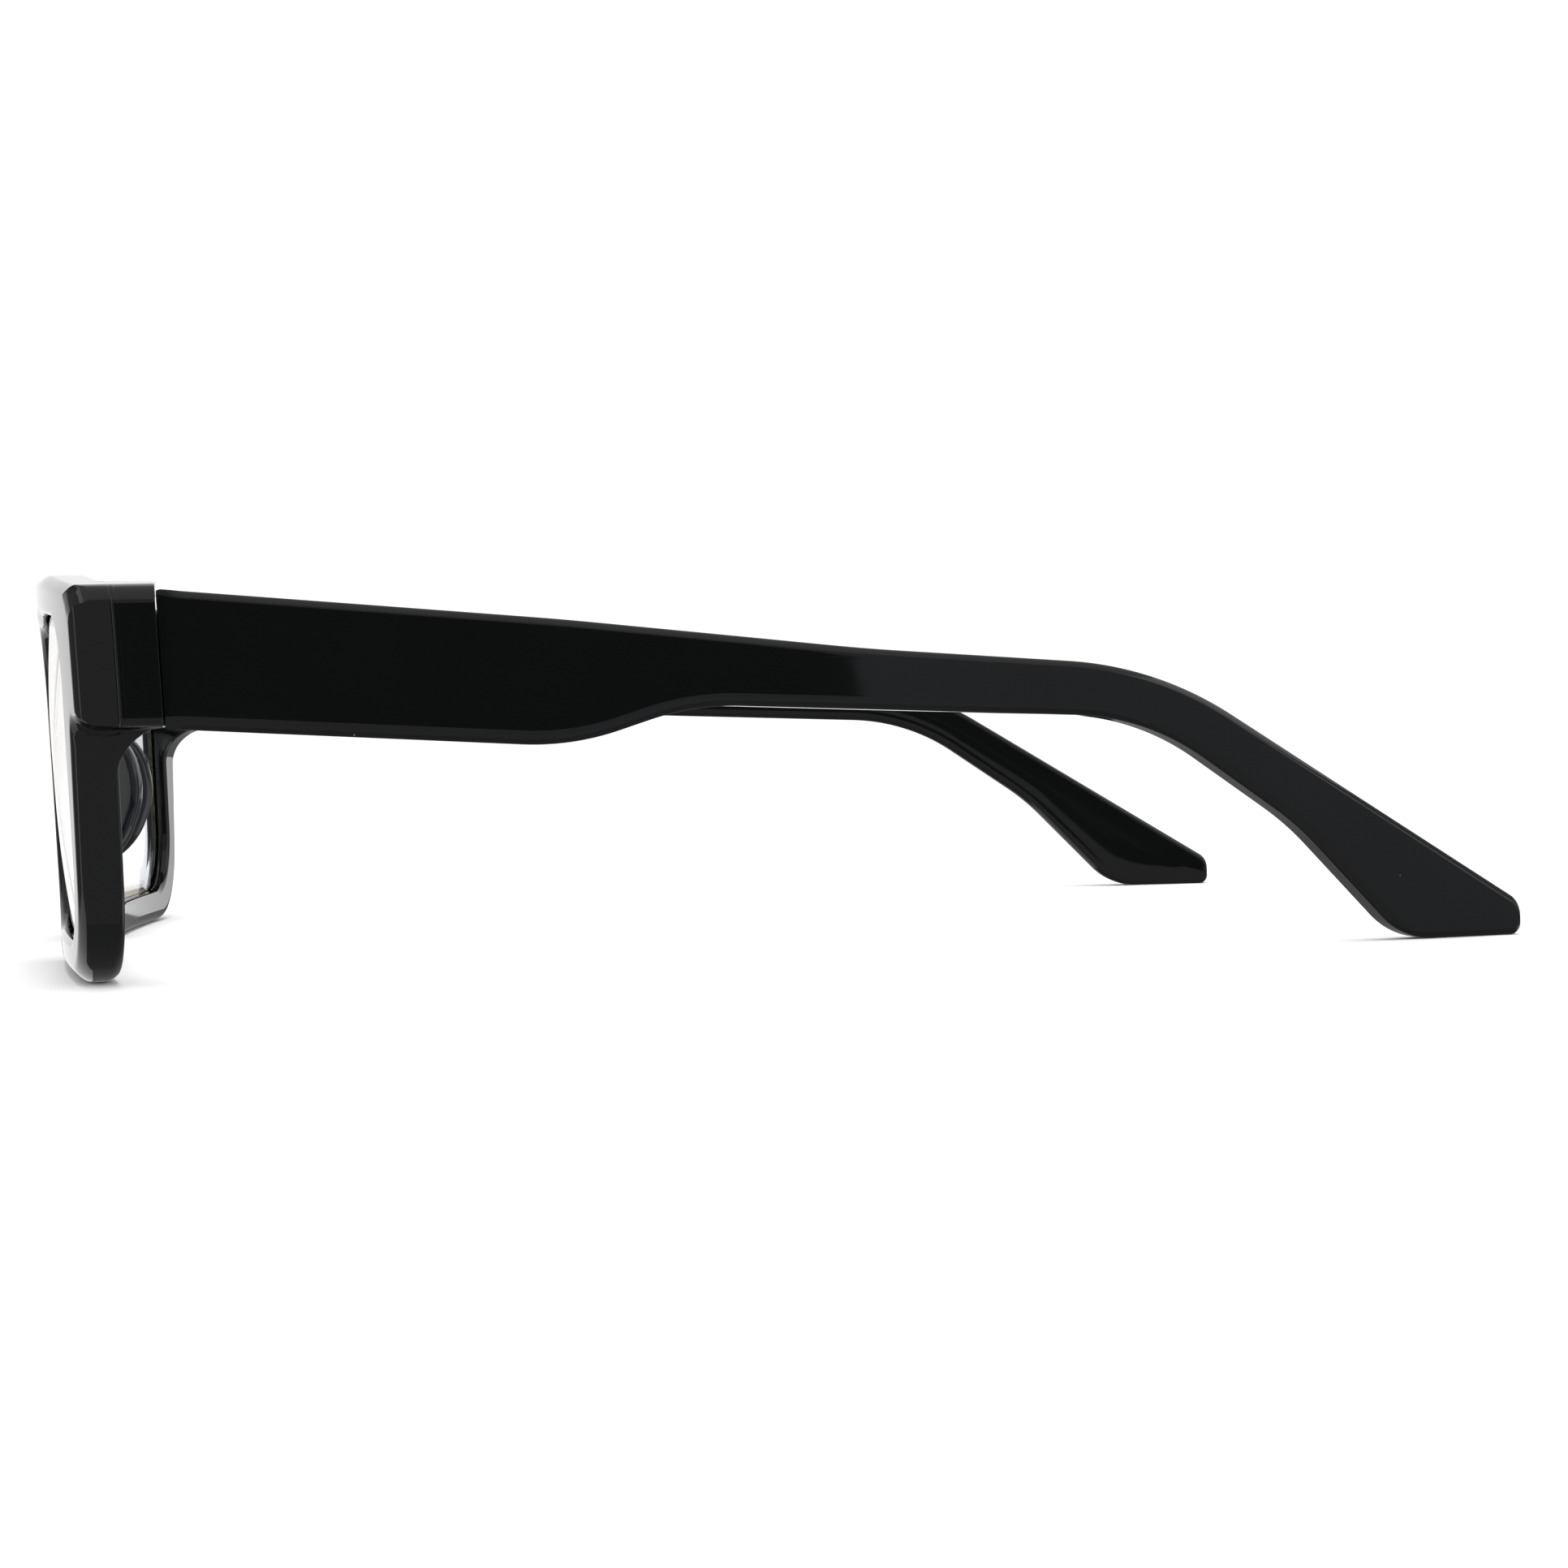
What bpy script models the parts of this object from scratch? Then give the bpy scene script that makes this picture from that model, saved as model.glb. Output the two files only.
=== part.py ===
"""Black acetate eyeglasses with two temples that fold on five-barrel hinges.

Metres, +Z up. +X is the wearer's left, the glasses face -Y, and Z = 0 is the surface that they stand on.
Lengths are written in a frame whose Y = 0 is the seam between front and temples; the object's own origin,
the middle of its box at the bottom, is carried by the root empty.
"""

import math

import bmesh
import bpy
from mathutils import Matrix, Vector

MM = 0.001

# Whole object
ROOT_SHIFT_Y = -61.42 * MM  # from the seam to the middle of the object's length
ARC_STEP = math.radians(11)  # angle between points on a rounded corner
FLAT_ANGLE = 0.002
WELD = 1e-6

# Front: a plate bent to the face's wrap, leaning forward at the top
FRONT_RADIUS = 345 * MM
FRONT_DEPTH = 4.4 * MM
FRONT_MIDDLE_Y = -13.93 * MM  # the front surface at the nose, at Z = 0
FRONT_LEAN = 0.045  # the top leans forward
FRONT_CHAMFER = 0.7 * MM
SLICE = 6.0 * MM
HALF_LENGTH = 74 * MM  # of the flat plate, before the end is cut
BEYOND = 60 * MM  # how far a cutter reaches past what it cuts
HALF_OUTLINE = [  # x, z, corner radius, from the bridge's underside round the rim to the bridge's top
    (-1.0, 27.6, 0),
    (4.6, 27.6, 5),
    (9.4, 19.5, 14),
    (16.6, 0.0, 7),
    (60.9, 0.0, 12),
    (66.8, 25.2, 1.5),
    (74.0, 25.2, 0),
    (74.0, 38.2, 0),
    (47.0, 40.8, 60),
    (24.0, 41.7, 30),
    (9.0, 39.6, 25),
    (-1.0, 39.3, 0),
]

# Lens opening, lens and groove
LENS_CORNERS = [
    (17.6, 4.0, 9.5),
    (59.0, 4.0, 9.5),
    (62.6, 35.8, 6.5),
    (38.0, 37.4, 120),
    (9.8, 36.0, 7),
    (12.3, 20.0, 25),
]
LENS_THICKNESS = 1.6 * MM
LENS_BEVEL = 0.5 * MM
LENS_REACH = 0.75 * MM  # how far the lens edge goes into the rim
LENS_MIDDLE = 2.0 * MM  # behind the front surface
GROOVE_REACH = 1.1 * MM
GROOVE_WIDTH = 2.3 * MM

# End piece, where the front turns back to meet the temple
OUTER_X = 71.0 * MM
CREASE_Y = -3.4 * MM
FORWARD_TURN = math.radians(9)  # the outer face ahead of the crease turns in
SEAM_LEAN = math.radians(2.3)
SEAM_MIDDLE_Z = 31.5 * MM
SEAM_GAP = 0.26 * MM
BLOCK_PLAN = [
    (62.4, -8.2, 0),
    (74.0, -6.0, 0),
    (74.0, 4.0, 0),
    (61.6, 4.0, 0),
    (61.6, -4.0, 2.0),
    (62.4, -6.2, 0),
]
BLOCK_SIDE = [(-9.0, 25.25, 0), (4.0, 25.1, 0), (4.0, 37.9, 0), (-9.0, 38.45, 0)]
GUSSET_SIDE = [(-6.4, 19.0, 0), (-5.2, 19.0, 0), (-4.2, 22.7, 3.4), (0.6, 25.7, 0), (0.6, 28.0, 0), (-6.4, 28.0, 0)]
GUSSET_X = (61.3 * MM, 64.8 * MM)
TOP_FACET = 1.3 * MM
TOP_FACET_Z = 38.3 * MM
END_PIECE_X = (50 * MM, 80 * MM)

# Nose pads
PAD_SIDE = [(-0.4, -9.0, 1.5), (5.0, -5.6, 7.6), (6.6, 1.0, 9), (4.6, 6.9, 6.8), (-0.4, 9.5, 1.5)]
PAD_THICKNESS = 2.4 * MM
PAD_CHAMFER = 0.7 * MM
PAD_PLACE = Vector((10.4, -10.75, 17.0)) * MM
PAD_SPLAY = math.radians(24)
PAD_FLARE = math.radians(-16)

# Temples: a plate cut to this outline, bowed in towards the tip
TEMPLE_CORNERS = [  # y, z, corner radius, along the underside to the tip and back along the top
    (-3.0, 25.15, 0),
    (38.6, 22.3, 26),
    (50.6, 26.05, 26),
    (97.0, 23.75, 26),
    (113.2, 12.35, 30),
    (124.9, 0.0, 8),
    (138.35, 0.0, 1.1),
    (138.35, 3.5, 2.2),
    (98.3, 28.85, 38),
    (68.0, 31.2, 200),
    (38.0, 34.6, 300),
    (-3.0, 38.3, 0),
]
TEMPLE_THICKNESS = 4.3 * MM
TEMPLE_CHAMFER = 0.8 * MM
TEMPLE_MIDDLE_X = 68.0 * MM
TEMPLE_SLOPE = -0.01212
TEMPLE_BOW = -0.56  # per metre
TIP_BOW = 0.68
TIP_BOW_FROM = 105.6 * MM
TEMPLE_SLICE = 8.0 * MM
TEMPLE_LENGTH = 140 * MM

# Core wire inside each temple
WIRE_PATH = [(12.6, 30.6, 0), (98.5, 26.3, 18), (127.5, 5.5, 0)]
WIRE_RADIUS = 0.65 * MM
CHANNEL_RADIUS = 0.95 * MM
CHANNEL_LEAD = 0.6 * MM
ENTRY_X = (66.3 * MM, 69.0 * MM)  # the slot between the leaf's pocket and the wire's channel
ENTRY_AHEAD = 1.6 * MM
ENTRY_BEHIND = 0.9 * MM
ENTRY_HALF = 1.3 * MM

# Hinges, from the pin outwards
PIN_X = 64.2 * MM
PIN_Y = 1.2 * MM
HINGE_BOTTOM = 27.2 * MM
BARRELS = 5
BARREL_HEIGHT = 1.72 * MM
BARREL_GAP = 0.15 * MM
BARREL_RADIUS = 1.45 * MM
BORE_RADIUS = 0.74 * MM
LEAF_THICKNESS = 0.8 * MM
FRONT_LEAF_FACE = -0.55 * MM  # the front leaf's rear surface, Y
FRONT_LEAF_X = (62.6 * MM, 65.7 * MM)
TEMPLE_LEAF_FACE = 66.0 * MM  # the temple leaf's inner surface, X
TEMPLE_LEAF_Y = (0.45 * MM, 13.0 * MM)
TEMPLE_LEAF_Z = (28.2 * MM, 35.4 * MM)
WEB_HALF = 1.0 * MM
POCKET_GAP = 0.27 * MM
SCREW_RADIUS = 0.6 * MM
SCREW_HEAD_RADIUS = 1.15 * MM
SCREW_HEAD_HEIGHT = 0.75 * MM
SLOT_WIDTH = 0.4 * MM
ROUND_SIDES = 20

# Turns a plate drawn in XY into one that stands in XZ, YZ or stays flat, thick along the third direction
STAND_XZ = Matrix.Rotation(math.radians(90), 4, "X")
STAND_YZ = Matrix(((0, 0, 1, 0), (1, 0, 0, 0), (0, 1, 0, 0), (0, 0, 0, 1)))


def clear_scene():
    for obj in list(bpy.data.objects):
        bpy.data.objects.remove(obj, do_unlink=True)
    for collection in list(bpy.data.collections):
        bpy.data.collections.remove(collection)


def new_collection(name, hidden=False):
    collection = bpy.data.collections.new(name)
    bpy.context.scene.collection.children.link(collection)
    collection.hide_render = hidden
    return collection


def new_material(name, colour, roughness, metallic=0.0, alpha=1.0):
    material = bpy.data.materials.new(name)
    material.use_nodes = True
    shader = material.node_tree.nodes["Principled BSDF"]
    shader.inputs["Base Color"].default_value = (*colour, 1)
    shader.inputs["Roughness"].default_value = roughness
    shader.inputs["Metallic"].default_value = metallic
    shader.inputs["Alpha"].default_value = alpha
    return material


def rounded(corners, closed=True):
    """The points of a path whose corners (a, b, radius), in millimetres, are turned into arcs."""
    points = []
    count = len(corners)
    for i, (a, b, radius) in enumerate(corners):
        here = Vector((a, b)) * MM
        last = not closed and i in (0, count - 1)
        if last or radius == 0:
            points.append(here)
            continue
        back = (Vector(corners[i - 1][:2]) * MM - here).normalized()
        ahead = (Vector(corners[(i + 1) % count][:2]) * MM - here).normalized()
        turn = math.pi - back.angle(ahead)
        size = radius * MM
        centre = here + (back + ahead).normalized() * size / math.cos(turn / 2)
        arm = here + back * size * math.tan(turn / 2) - centre
        side = 1 if ahead.x * back.y - ahead.y * back.x > 0 else -1
        steps = max(2, round(turn / ARC_STEP))
        for k in range(steps + 1):
            points.append(centre + Matrix.Rotation(side * turn * k / steps, 2) @ arm)
    return points


def grown(corners, by):
    """The corners of the outline that runs a distance outside a convex, anticlockwise one."""
    found = []
    count = len(corners)
    for i, (a, b, radius) in enumerate(corners):
        here = Vector((a, b))
        before = (here - Vector(corners[i - 1][:2])).normalized()
        after = (Vector(corners[(i + 1) % count][:2]) - here).normalized()
        first = Vector((before.y, -before.x))
        second = Vector((after.y, -after.x))
        reach = by / MM
        moved = here + (first + second) * reach / (1 + first.dot(second))
        found.append((moved.x, moved.y, radius + reach))
    return found


def mesh_of(curve, matrix):
    """The curve's solid as a mesh object with its caps welded on."""
    shape = bpy.data.objects.new(curve.name, curve)
    parts.objects.link(shape)
    graph = bpy.context.evaluated_depsgraph_get()
    mesh = bpy.data.meshes.new_from_object(shape.evaluated_get(graph))
    name = shape.name
    bpy.data.objects.remove(shape, do_unlink=True)
    mesh.transform(matrix)
    work = bmesh.new()
    work.from_mesh(mesh)
    bmesh.ops.remove_doubles(work, verts=work.verts, dist=WELD)
    bmesh.ops.dissolve_limit(work, angle_limit=FLAT_ANGLE, verts=work.verts, edges=work.edges)
    bmesh.ops.recalc_face_normals(work, faces=work.faces)
    work.to_mesh(mesh)
    work.free()
    obj = bpy.data.objects.new(name, mesh)
    parts.objects.link(obj)
    return obj


def plate(name, outline, thickness, matrix, chamfer=0.0):
    """A flat plate with this outline, its edges chamfered."""
    curve = bpy.data.curves.new(name, "CURVE")
    curve.dimensions = "2D"
    curve.fill_mode = "BOTH"
    curve.extrude = thickness / 2 - chamfer
    curve.bevel_depth = chamfer
    curve.bevel_resolution = 0
    curve.offset = -chamfer
    spline = curve.splines.new("POLY")
    spline.points.add(len(outline) - 1)
    for point, (a, b) in zip(spline.points, outline):
        point.co = (a, b, 0, 1)
    spline.use_cyclic_u = True
    return mesh_of(curve, matrix)


def rod(name, points, radius, rings=2):
    """A round wire along these points."""
    curve = bpy.data.curves.new(name, "CURVE")
    curve.dimensions = "3D"
    curve.bevel_depth = radius
    curve.bevel_resolution = rings
    curve.use_fill_caps = True
    spline = curve.splines.new("POLY")
    spline.points.add(len(points) - 1)
    for point, place in zip(spline.points, points):
        point.co = (*place, 1)
    return mesh_of(curve, Matrix())


def box(name, low, high):
    """A box between two corners."""
    low = Vector(low)
    high = Vector(high)
    work = bmesh.new()
    size = Matrix.Diagonal((high - low).to_4d())
    bmesh.ops.create_cube(work, size=1, matrix=Matrix.Translation((low + high) / 2) @ size)
    mesh = bpy.data.meshes.new(name)
    work.to_mesh(mesh)
    work.free()
    obj = bpy.data.objects.new(name, mesh)
    parts.objects.link(obj)
    return obj


def cylinder(name, centre, radius, bottom, top):
    """An upright cylinder."""
    work = bmesh.new()
    middle = Matrix.Translation((centre[0], centre[1], (bottom + top) / 2))
    bmesh.ops.create_cone(
        work,
        cap_ends=True,
        segments=ROUND_SIDES,
        radius1=radius,
        radius2=radius,
        depth=top - bottom,
        matrix=middle,
    )
    mesh = bpy.data.meshes.new(name)
    work.to_mesh(mesh)
    work.free()
    obj = bpy.data.objects.new(name, mesh)
    parts.objects.link(obj)
    return obj


def combined(target, other, operation):
    """The target after one Boolean with the other solid, which is used up."""
    step = target.modifiers.new(operation, "BOOLEAN")
    step.operation = operation
    step.solver = "EXACT"
    step.object = other
    graph = bpy.context.evaluated_depsgraph_get()
    mesh = bpy.data.meshes.new_from_object(target.evaluated_get(graph))
    target.modifiers.clear()
    target.data = mesh
    bpy.data.objects.remove(other, do_unlink=True)
    return target


def cut_later(target, cutter):
    """A Boolean that stays on the target, with its cutter kept among the cutters."""
    step = target.modifiers.new("cut_" + cutter.name, "BOOLEAN")
    step.operation = "DIFFERENCE"
    step.solver = "EXACT"
    step.object = cutter
    parts.objects.unlink(cutter)
    cutters.objects.link(cutter)
    cutter.hide_render = True
    cutter.display_type = "WIRE"


def shaped(obj, axis, spacing, reach, bend):
    """The mesh cut across at even steps along one axis, then bent point by point."""
    normal = Vector((0, 0, 0))
    normal[axis] = 1
    work = bmesh.new()
    work.from_mesh(obj.data)
    for k in range(-1, math.ceil(reach / spacing) + 1):
        everything = work.verts[:] + work.edges[:] + work.faces[:]
        bmesh.ops.bisect_plane(
            work, geom=everything, dist=WELD, plane_co=normal * spacing * k, plane_no=normal
        )
    for vertex in work.verts:
        vertex.co = bend(vertex.co)
    bmesh.ops.triangulate(work, faces=work.faces)
    work.to_mesh(obj.data)
    work.free()
    return obj


def wrapped(point):
    """A point of the flat front, y behind its surface, on the arc of the face and leaning forward."""
    angle = point.x / FRONT_RADIUS
    arm = FRONT_RADIUS - point.y
    back = FRONT_RADIUS - arm * math.cos(angle)
    return Vector((arm * math.sin(angle), FRONT_MIDDLE_Y + back - FRONT_LEAN * point.z, point.z))


def temple_middle(y):
    """The temple's middle plane: X and its slope at this distance behind the seam."""
    past = max(0.0, y - TIP_BOW_FROM)
    middle = TEMPLE_MIDDLE_X + TEMPLE_SLOPE * y + TEMPLE_BOW * y * y + TIP_BOW * past * past
    return middle, TEMPLE_SLOPE + 2 * TEMPLE_BOW * y + 2 * TIP_BOW * past


def bowed(point):
    """A point of the flat temple, x out from its middle plane, on the temple's bow."""
    middle, slope = temple_middle(point.y)
    across = Vector((1, -slope)).normalized() * point.x
    return Vector((middle + across.x, point.y + across.y, point.z))


def mirrored(obj, name):
    """The same piece for the wearer's right."""
    mesh = obj.data.copy()
    mesh.transform(Matrix.Scale(-1, 4, (1, 0, 0)))
    mesh.flip_normals()
    twin = bpy.data.objects.new(name, mesh)
    parts.objects.link(twin)
    for step in obj.modifiers:
        cutter = step.object
        other = bpy.data.objects.new(cutter.name + "_right", cutter.data.copy())
        other.data.transform(Matrix.Scale(-1, 4, (1, 0, 0)))
        other.data.flip_normals()
        parts.objects.link(other)
        cut_later(twin, other)
    return twin


def seam_cutter(name, offset, ahead):
    """A block on one side of the seam, whose face leans with it."""
    lean = Matrix.Rotation(SEAM_LEAN, 4, "X")
    depth = (-BEYOND, 0) if ahead else (0, BEYOND)
    block = box(name, (END_PIECE_X[0], depth[0], -BEYOND), (END_PIECE_X[1], depth[1], BEYOND))
    block.data.transform(Matrix.Translation((0, offset, SEAM_MIDDLE_Z)) @ lean)
    return block


def make_front():
    """The rims, bridge and end pieces, cut from one plate."""
    half = plate("front_frame", rounded(HALF_OUTLINE), FRONT_DEPTH, STAND_XZ, FRONT_CHAMFER)
    half.data.transform(Matrix.Translation((0, FRONT_DEPTH / 2, 0)))
    opening = plate("opening", rounded(LENS_CORNERS), 4 * FRONT_DEPTH, STAND_XZ)
    combined(half, opening, "DIFFERENCE")
    groove_outline = rounded(grown(LENS_CORNERS, GROOVE_REACH))
    groove = plate("groove", groove_outline, GROOVE_WIDTH, STAND_XZ, LENS_BEVEL)
    groove.data.transform(Matrix.Translation((0, LENS_MIDDLE, 0)))
    combined(half, groove, "DIFFERENCE")
    shaped(half, 0, SLICE, HALF_LENGTH, wrapped)

    block = plate("end_piece", rounded(BLOCK_PLAN), 2 * BEYOND, Matrix.Identity(4))
    side = plate("end_piece_side", rounded(BLOCK_SIDE), END_PIECE_X[1] - END_PIECE_X[0], STAND_YZ)
    side.data.transform(Matrix.Translation((sum(END_PIECE_X) / 2, 0, 0)))
    combined(block, side, "INTERSECT")
    gusset = plate("gusset", rounded(GUSSET_SIDE), GUSSET_X[1] - GUSSET_X[0], STAND_YZ)
    gusset.data.transform(Matrix.Translation((sum(GUSSET_X) / 2, 0, 0)))
    combined(block, gusset, "UNION")
    combined(half, block, "UNION")

    # The outer face, its forward half, the facet along its top, and the seam
    outer = box("outer", (OUTER_X, -BEYOND, -BEYOND), (OUTER_X + BEYOND, BEYOND, BEYOND))
    combined(half, outer, "DIFFERENCE")
    forward = box("forward", (0, -BEYOND, -BEYOND), (BEYOND, 0, BEYOND))
    forward.data.transform(
        Matrix.Translation((OUTER_X, CREASE_Y, 0)) @ Matrix.Rotation(-FORWARD_TURN, 4, "Z")
    )
    combined(half, forward, "DIFFERENCE")
    facet = box("facet", (0, -BEYOND, -BEYOND), (BEYOND, BEYOND, BEYOND))
    facet.data.transform(
        Matrix.Translation((OUTER_X - TOP_FACET, 0, TOP_FACET_Z)) @ Matrix.Rotation(math.radians(-45), 4, "Y")
    )
    combined(half, facet, "DIFFERENCE")
    combined(half, seam_cutter("behind_seam", -SEAM_GAP / 2, False), "DIFFERENCE")
    pocket = box(
        "front_pocket",
        (FRONT_LEAF_X[0] - POCKET_GAP, FRONT_LEAF_FACE - LEAF_THICKNESS - POCKET_GAP, HINGE_BOTTOM - POCKET_GAP),
        (FRONT_LEAF_X[1] + POCKET_GAP, BEYOND, barrel_span(BARRELS - 1)[1] + POCKET_GAP),
    )
    combined(half, pocket, "DIFFERENCE")

    mirror = half.modifiers.new("both_sides", "MIRROR")
    mirror.use_axis = (True, False, False)
    mirror.use_bisect_axis = (True, False, False)
    mirror.use_clip = True
    mirror.merge_threshold = 1e-6
    mirror.bisect_threshold = 1e-6
    return half


def make_lens(name):
    outline = rounded(grown(LENS_CORNERS, LENS_REACH))
    lens = plate(name, outline, LENS_THICKNESS, STAND_XZ, LENS_BEVEL)
    lens.data.transform(Matrix.Translation((0, LENS_MIDDLE, 0)))
    return shaped(lens, 0, SLICE, HALF_LENGTH, wrapped)


def make_pad(name):
    """A pad that stands behind the rim, splayed to the side of the nose."""
    pad = plate(name, rounded(PAD_SIDE), PAD_THICKNESS, STAND_YZ, PAD_CHAMFER)
    turn = Matrix.Rotation(-PAD_SPLAY, 4, "Z") @ Matrix.Rotation(PAD_FLARE, 4, "Y")
    pad.data.transform(Matrix.Translation(PAD_PLACE) @ turn)
    return pad


def trim_pad(pad):
    """The pad cut back to the rear surface of the front, less the bond line."""
    layer = plate("pad_trim", [Vector(p) * MM for p in ((-1, -5), (40, -5), (40, 45), (-1, 45))], 12 * MM, STAND_XZ)
    layer.data.transform(Matrix.Translation((0, FRONT_DEPTH + POCKET_GAP - 6 * MM, 0)))
    return combined(pad, shaped(layer, 0, SLICE, HALF_LENGTH, wrapped), "DIFFERENCE")


def wire_points():
    """The core wire's route, a point every few millimetres on its straight runs."""
    route = rounded(WIRE_PATH, closed=False)
    points = []
    for start, end in zip(route, route[1:]):
        count = max(1, round((end - start).length / TEMPLE_SLICE))
        points += [start.lerp(end, k / count) for k in range(count)]
    points.append(route[-1])
    return [bowed(Vector((0, p.x, p.y))) for p in points]


def make_temple(name):
    temple = plate(name, rounded(TEMPLE_CORNERS), TEMPLE_THICKNESS, STAND_YZ, TEMPLE_CHAMFER)
    shaped(temple, 1, TEMPLE_SLICE, TEMPLE_LENGTH, bowed)
    combined(temple, seam_cutter("ahead_of_seam", SEAM_GAP / 2, True), "DIFFERENCE")
    pocket = box(
        "leaf_pocket",
        (0, -BEYOND, TEMPLE_LEAF_Z[0] - POCKET_GAP),
        (TEMPLE_LEAF_FACE + LEAF_THICKNESS + POCKET_GAP, TEMPLE_LEAF_Y[1] + POCKET_GAP, TEMPLE_LEAF_Z[1] + POCKET_GAP),
    )
    combined(temple, pocket, "DIFFERENCE")
    route = wire_points()
    past = (route[-1] - route[-2]).normalized() * CHANNEL_LEAD
    ahead = (route[0] - route[1]).normalized() * CHANNEL_LEAD
    channel = rod("wire_channel", [route[0] + ahead] + route[1:-1] + [route[-1] + past], CHANNEL_RADIUS)
    entry = box(
        "wire_entry",
        (ENTRY_X[0], route[0].y - ENTRY_AHEAD, route[0].z - ENTRY_HALF),
        (ENTRY_X[1], route[0].y + ENTRY_BEHIND, route[0].z + ENTRY_HALF),
    )
    combined(channel, entry, "UNION")
    cut_later(temple, channel)
    return temple


def barrel_span(index):
    bottom = HINGE_BOTTOM + index * (BARREL_HEIGHT + BARREL_GAP)
    return bottom, bottom + BARREL_HEIGHT


def make_hinge(name, leaf, web_low, web_high, indices):
    """A leaf with its share of the barrels, bored for the screw."""
    hinge = leaf
    hinge.name = name
    for index in indices:
        bottom, top = barrel_span(index)
        web = box("web", (*web_low, bottom), (*web_high, top))
        barrel = cylinder("barrel", (PIN_X, PIN_Y), BARREL_RADIUS, bottom, top)
        combined(barrel, web, "UNION")
        combined(hinge, barrel, "UNION")
    bore = cylinder("bore", (PIN_X, PIN_Y), BORE_RADIUS, 0, BEYOND)
    return combined(hinge, bore, "DIFFERENCE")


def make_front_hinge(name):
    bottom = HINGE_BOTTOM
    top = barrel_span(BARRELS - 1)[1]
    leaf = box(
        name,
        (FRONT_LEAF_X[0], FRONT_LEAF_FACE - LEAF_THICKNESS, bottom),
        (FRONT_LEAF_X[1], FRONT_LEAF_FACE, top),
    )
    web_low = (PIN_X - WEB_HALF, FRONT_LEAF_FACE - LEAF_THICKNESS / 2)
    return make_hinge(name, leaf, web_low, (PIN_X + WEB_HALF, PIN_Y), range(0, BARRELS, 2))


def make_temple_hinge(name):
    leaf = box(
        name,
        (TEMPLE_LEAF_FACE, TEMPLE_LEAF_Y[0], TEMPLE_LEAF_Z[0]),
        (TEMPLE_LEAF_FACE + LEAF_THICKNESS, TEMPLE_LEAF_Y[1], TEMPLE_LEAF_Z[1]),
    )
    web_high = (TEMPLE_LEAF_FACE + LEAF_THICKNESS / 2, PIN_Y + WEB_HALF)
    return make_hinge(name, leaf, (PIN_X, PIN_Y - WEB_HALF), web_high, range(1, BARRELS, 2))


def make_screw(name):
    """A slotted screw whose head sits above the top barrel."""
    top = barrel_span(BARRELS - 1)[1] + BARREL_GAP
    screw = cylinder(name, (PIN_X, PIN_Y), SCREW_RADIUS, HINGE_BOTTOM, top + SCREW_HEAD_HEIGHT / 2)
    head = cylinder("head", (PIN_X, PIN_Y), SCREW_HEAD_RADIUS, top, top + SCREW_HEAD_HEIGHT)
    combined(screw, head, "UNION")
    slot = box(
        "slot",
        (PIN_X - SLOT_WIDTH / 2, PIN_Y - 2 * SCREW_HEAD_RADIUS, top + SCREW_HEAD_HEIGHT * 0.55),
        (PIN_X + SLOT_WIDTH / 2, PIN_Y + 2 * SCREW_HEAD_RADIUS, top + 2 * SCREW_HEAD_HEIGHT),
    )
    return combined(screw, slot, "DIFFERENCE")


def finish(obj, material, anchor):
    """Gives the piece its material and hangs it from the empty that it moves with."""
    obj.data.materials.clear()
    obj.data.materials.append(material)
    place = anchor["place"]
    obj.data.transform(Matrix.Translation(-Vector(place)))
    obj.parent = anchor
    obj.data.set_sharp_from_angle(angle=math.radians(30))
    for step in obj.modifiers:
        if step.type == "BOOLEAN":
            step.object.data.transform(Matrix.Translation(-Vector(place)))
            step.object.parent = anchor


def new_anchor(name, place, parent=None):
    anchor = bpy.data.objects.new(name, None)
    anchor.empty_display_size = 5 * MM
    anchor["place"] = place
    anchor.location = place
    anchor.parent = parent
    parts.objects.link(anchor)
    return anchor


clear_scene()
parts = new_collection("eyeglasses")
cutters = new_collection("cutters", hidden=True)

acetate = {
    name: new_material(name, (0.006, 0.006, 0.007), 0.08)
    for name in ("front_acetate", "temple_left_acetate", "temple_right_acetate", "pad_left_acetate", "pad_right_acetate")
}
lens_clear = [new_material(name, (0.95, 0.96, 0.97), 0.02, alpha=0.25) for name in ("lens_left_clear", "lens_right_clear")]
hinge_steel = new_material("hinge_nickel_silver", (0.62, 0.60, 0.56), 0.3, metallic=1.0)
screw_steel = new_material("screw_steel", (0.55, 0.55, 0.56), 0.28, metallic=1.0)
wire_steel = new_material("core_wire_steel", (0.5, 0.5, 0.5), 0.4, metallic=1.0)

root = new_anchor("eyeglasses_origin", (0, 0, 0))
root.location = (0, ROOT_SHIFT_Y, 0)
left_axis = new_anchor("left_hinge_axis", (PIN_X, PIN_Y, 0), root)
right_axis = new_anchor("right_hinge_axis", (-PIN_X, PIN_Y, 0), root)

front = make_front()
lens_left = make_lens("lens_left")
pad_left = trim_pad(make_pad("nose_pad_left"))
temple_left = make_temple("temple_left")
wire_left = rod("core_wire_left", wire_points(), WIRE_RADIUS, rings=1)
front_hinge_left = make_front_hinge("front_hinge_left")
temple_hinge_left = make_temple_hinge("temple_hinge_left")
screw_left = make_screw("hinge_screw_left")

lens_right = mirrored(lens_left, "lens_right")
pad_right = mirrored(pad_left, "nose_pad_right")
temple_right = mirrored(temple_left, "temple_right")
wire_right = mirrored(wire_left, "core_wire_right")
front_hinge_right = mirrored(front_hinge_left, "front_hinge_right")
temple_hinge_right = mirrored(temple_hinge_left, "temple_hinge_right")
screw_right = mirrored(screw_left, "hinge_screw_right")

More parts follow.
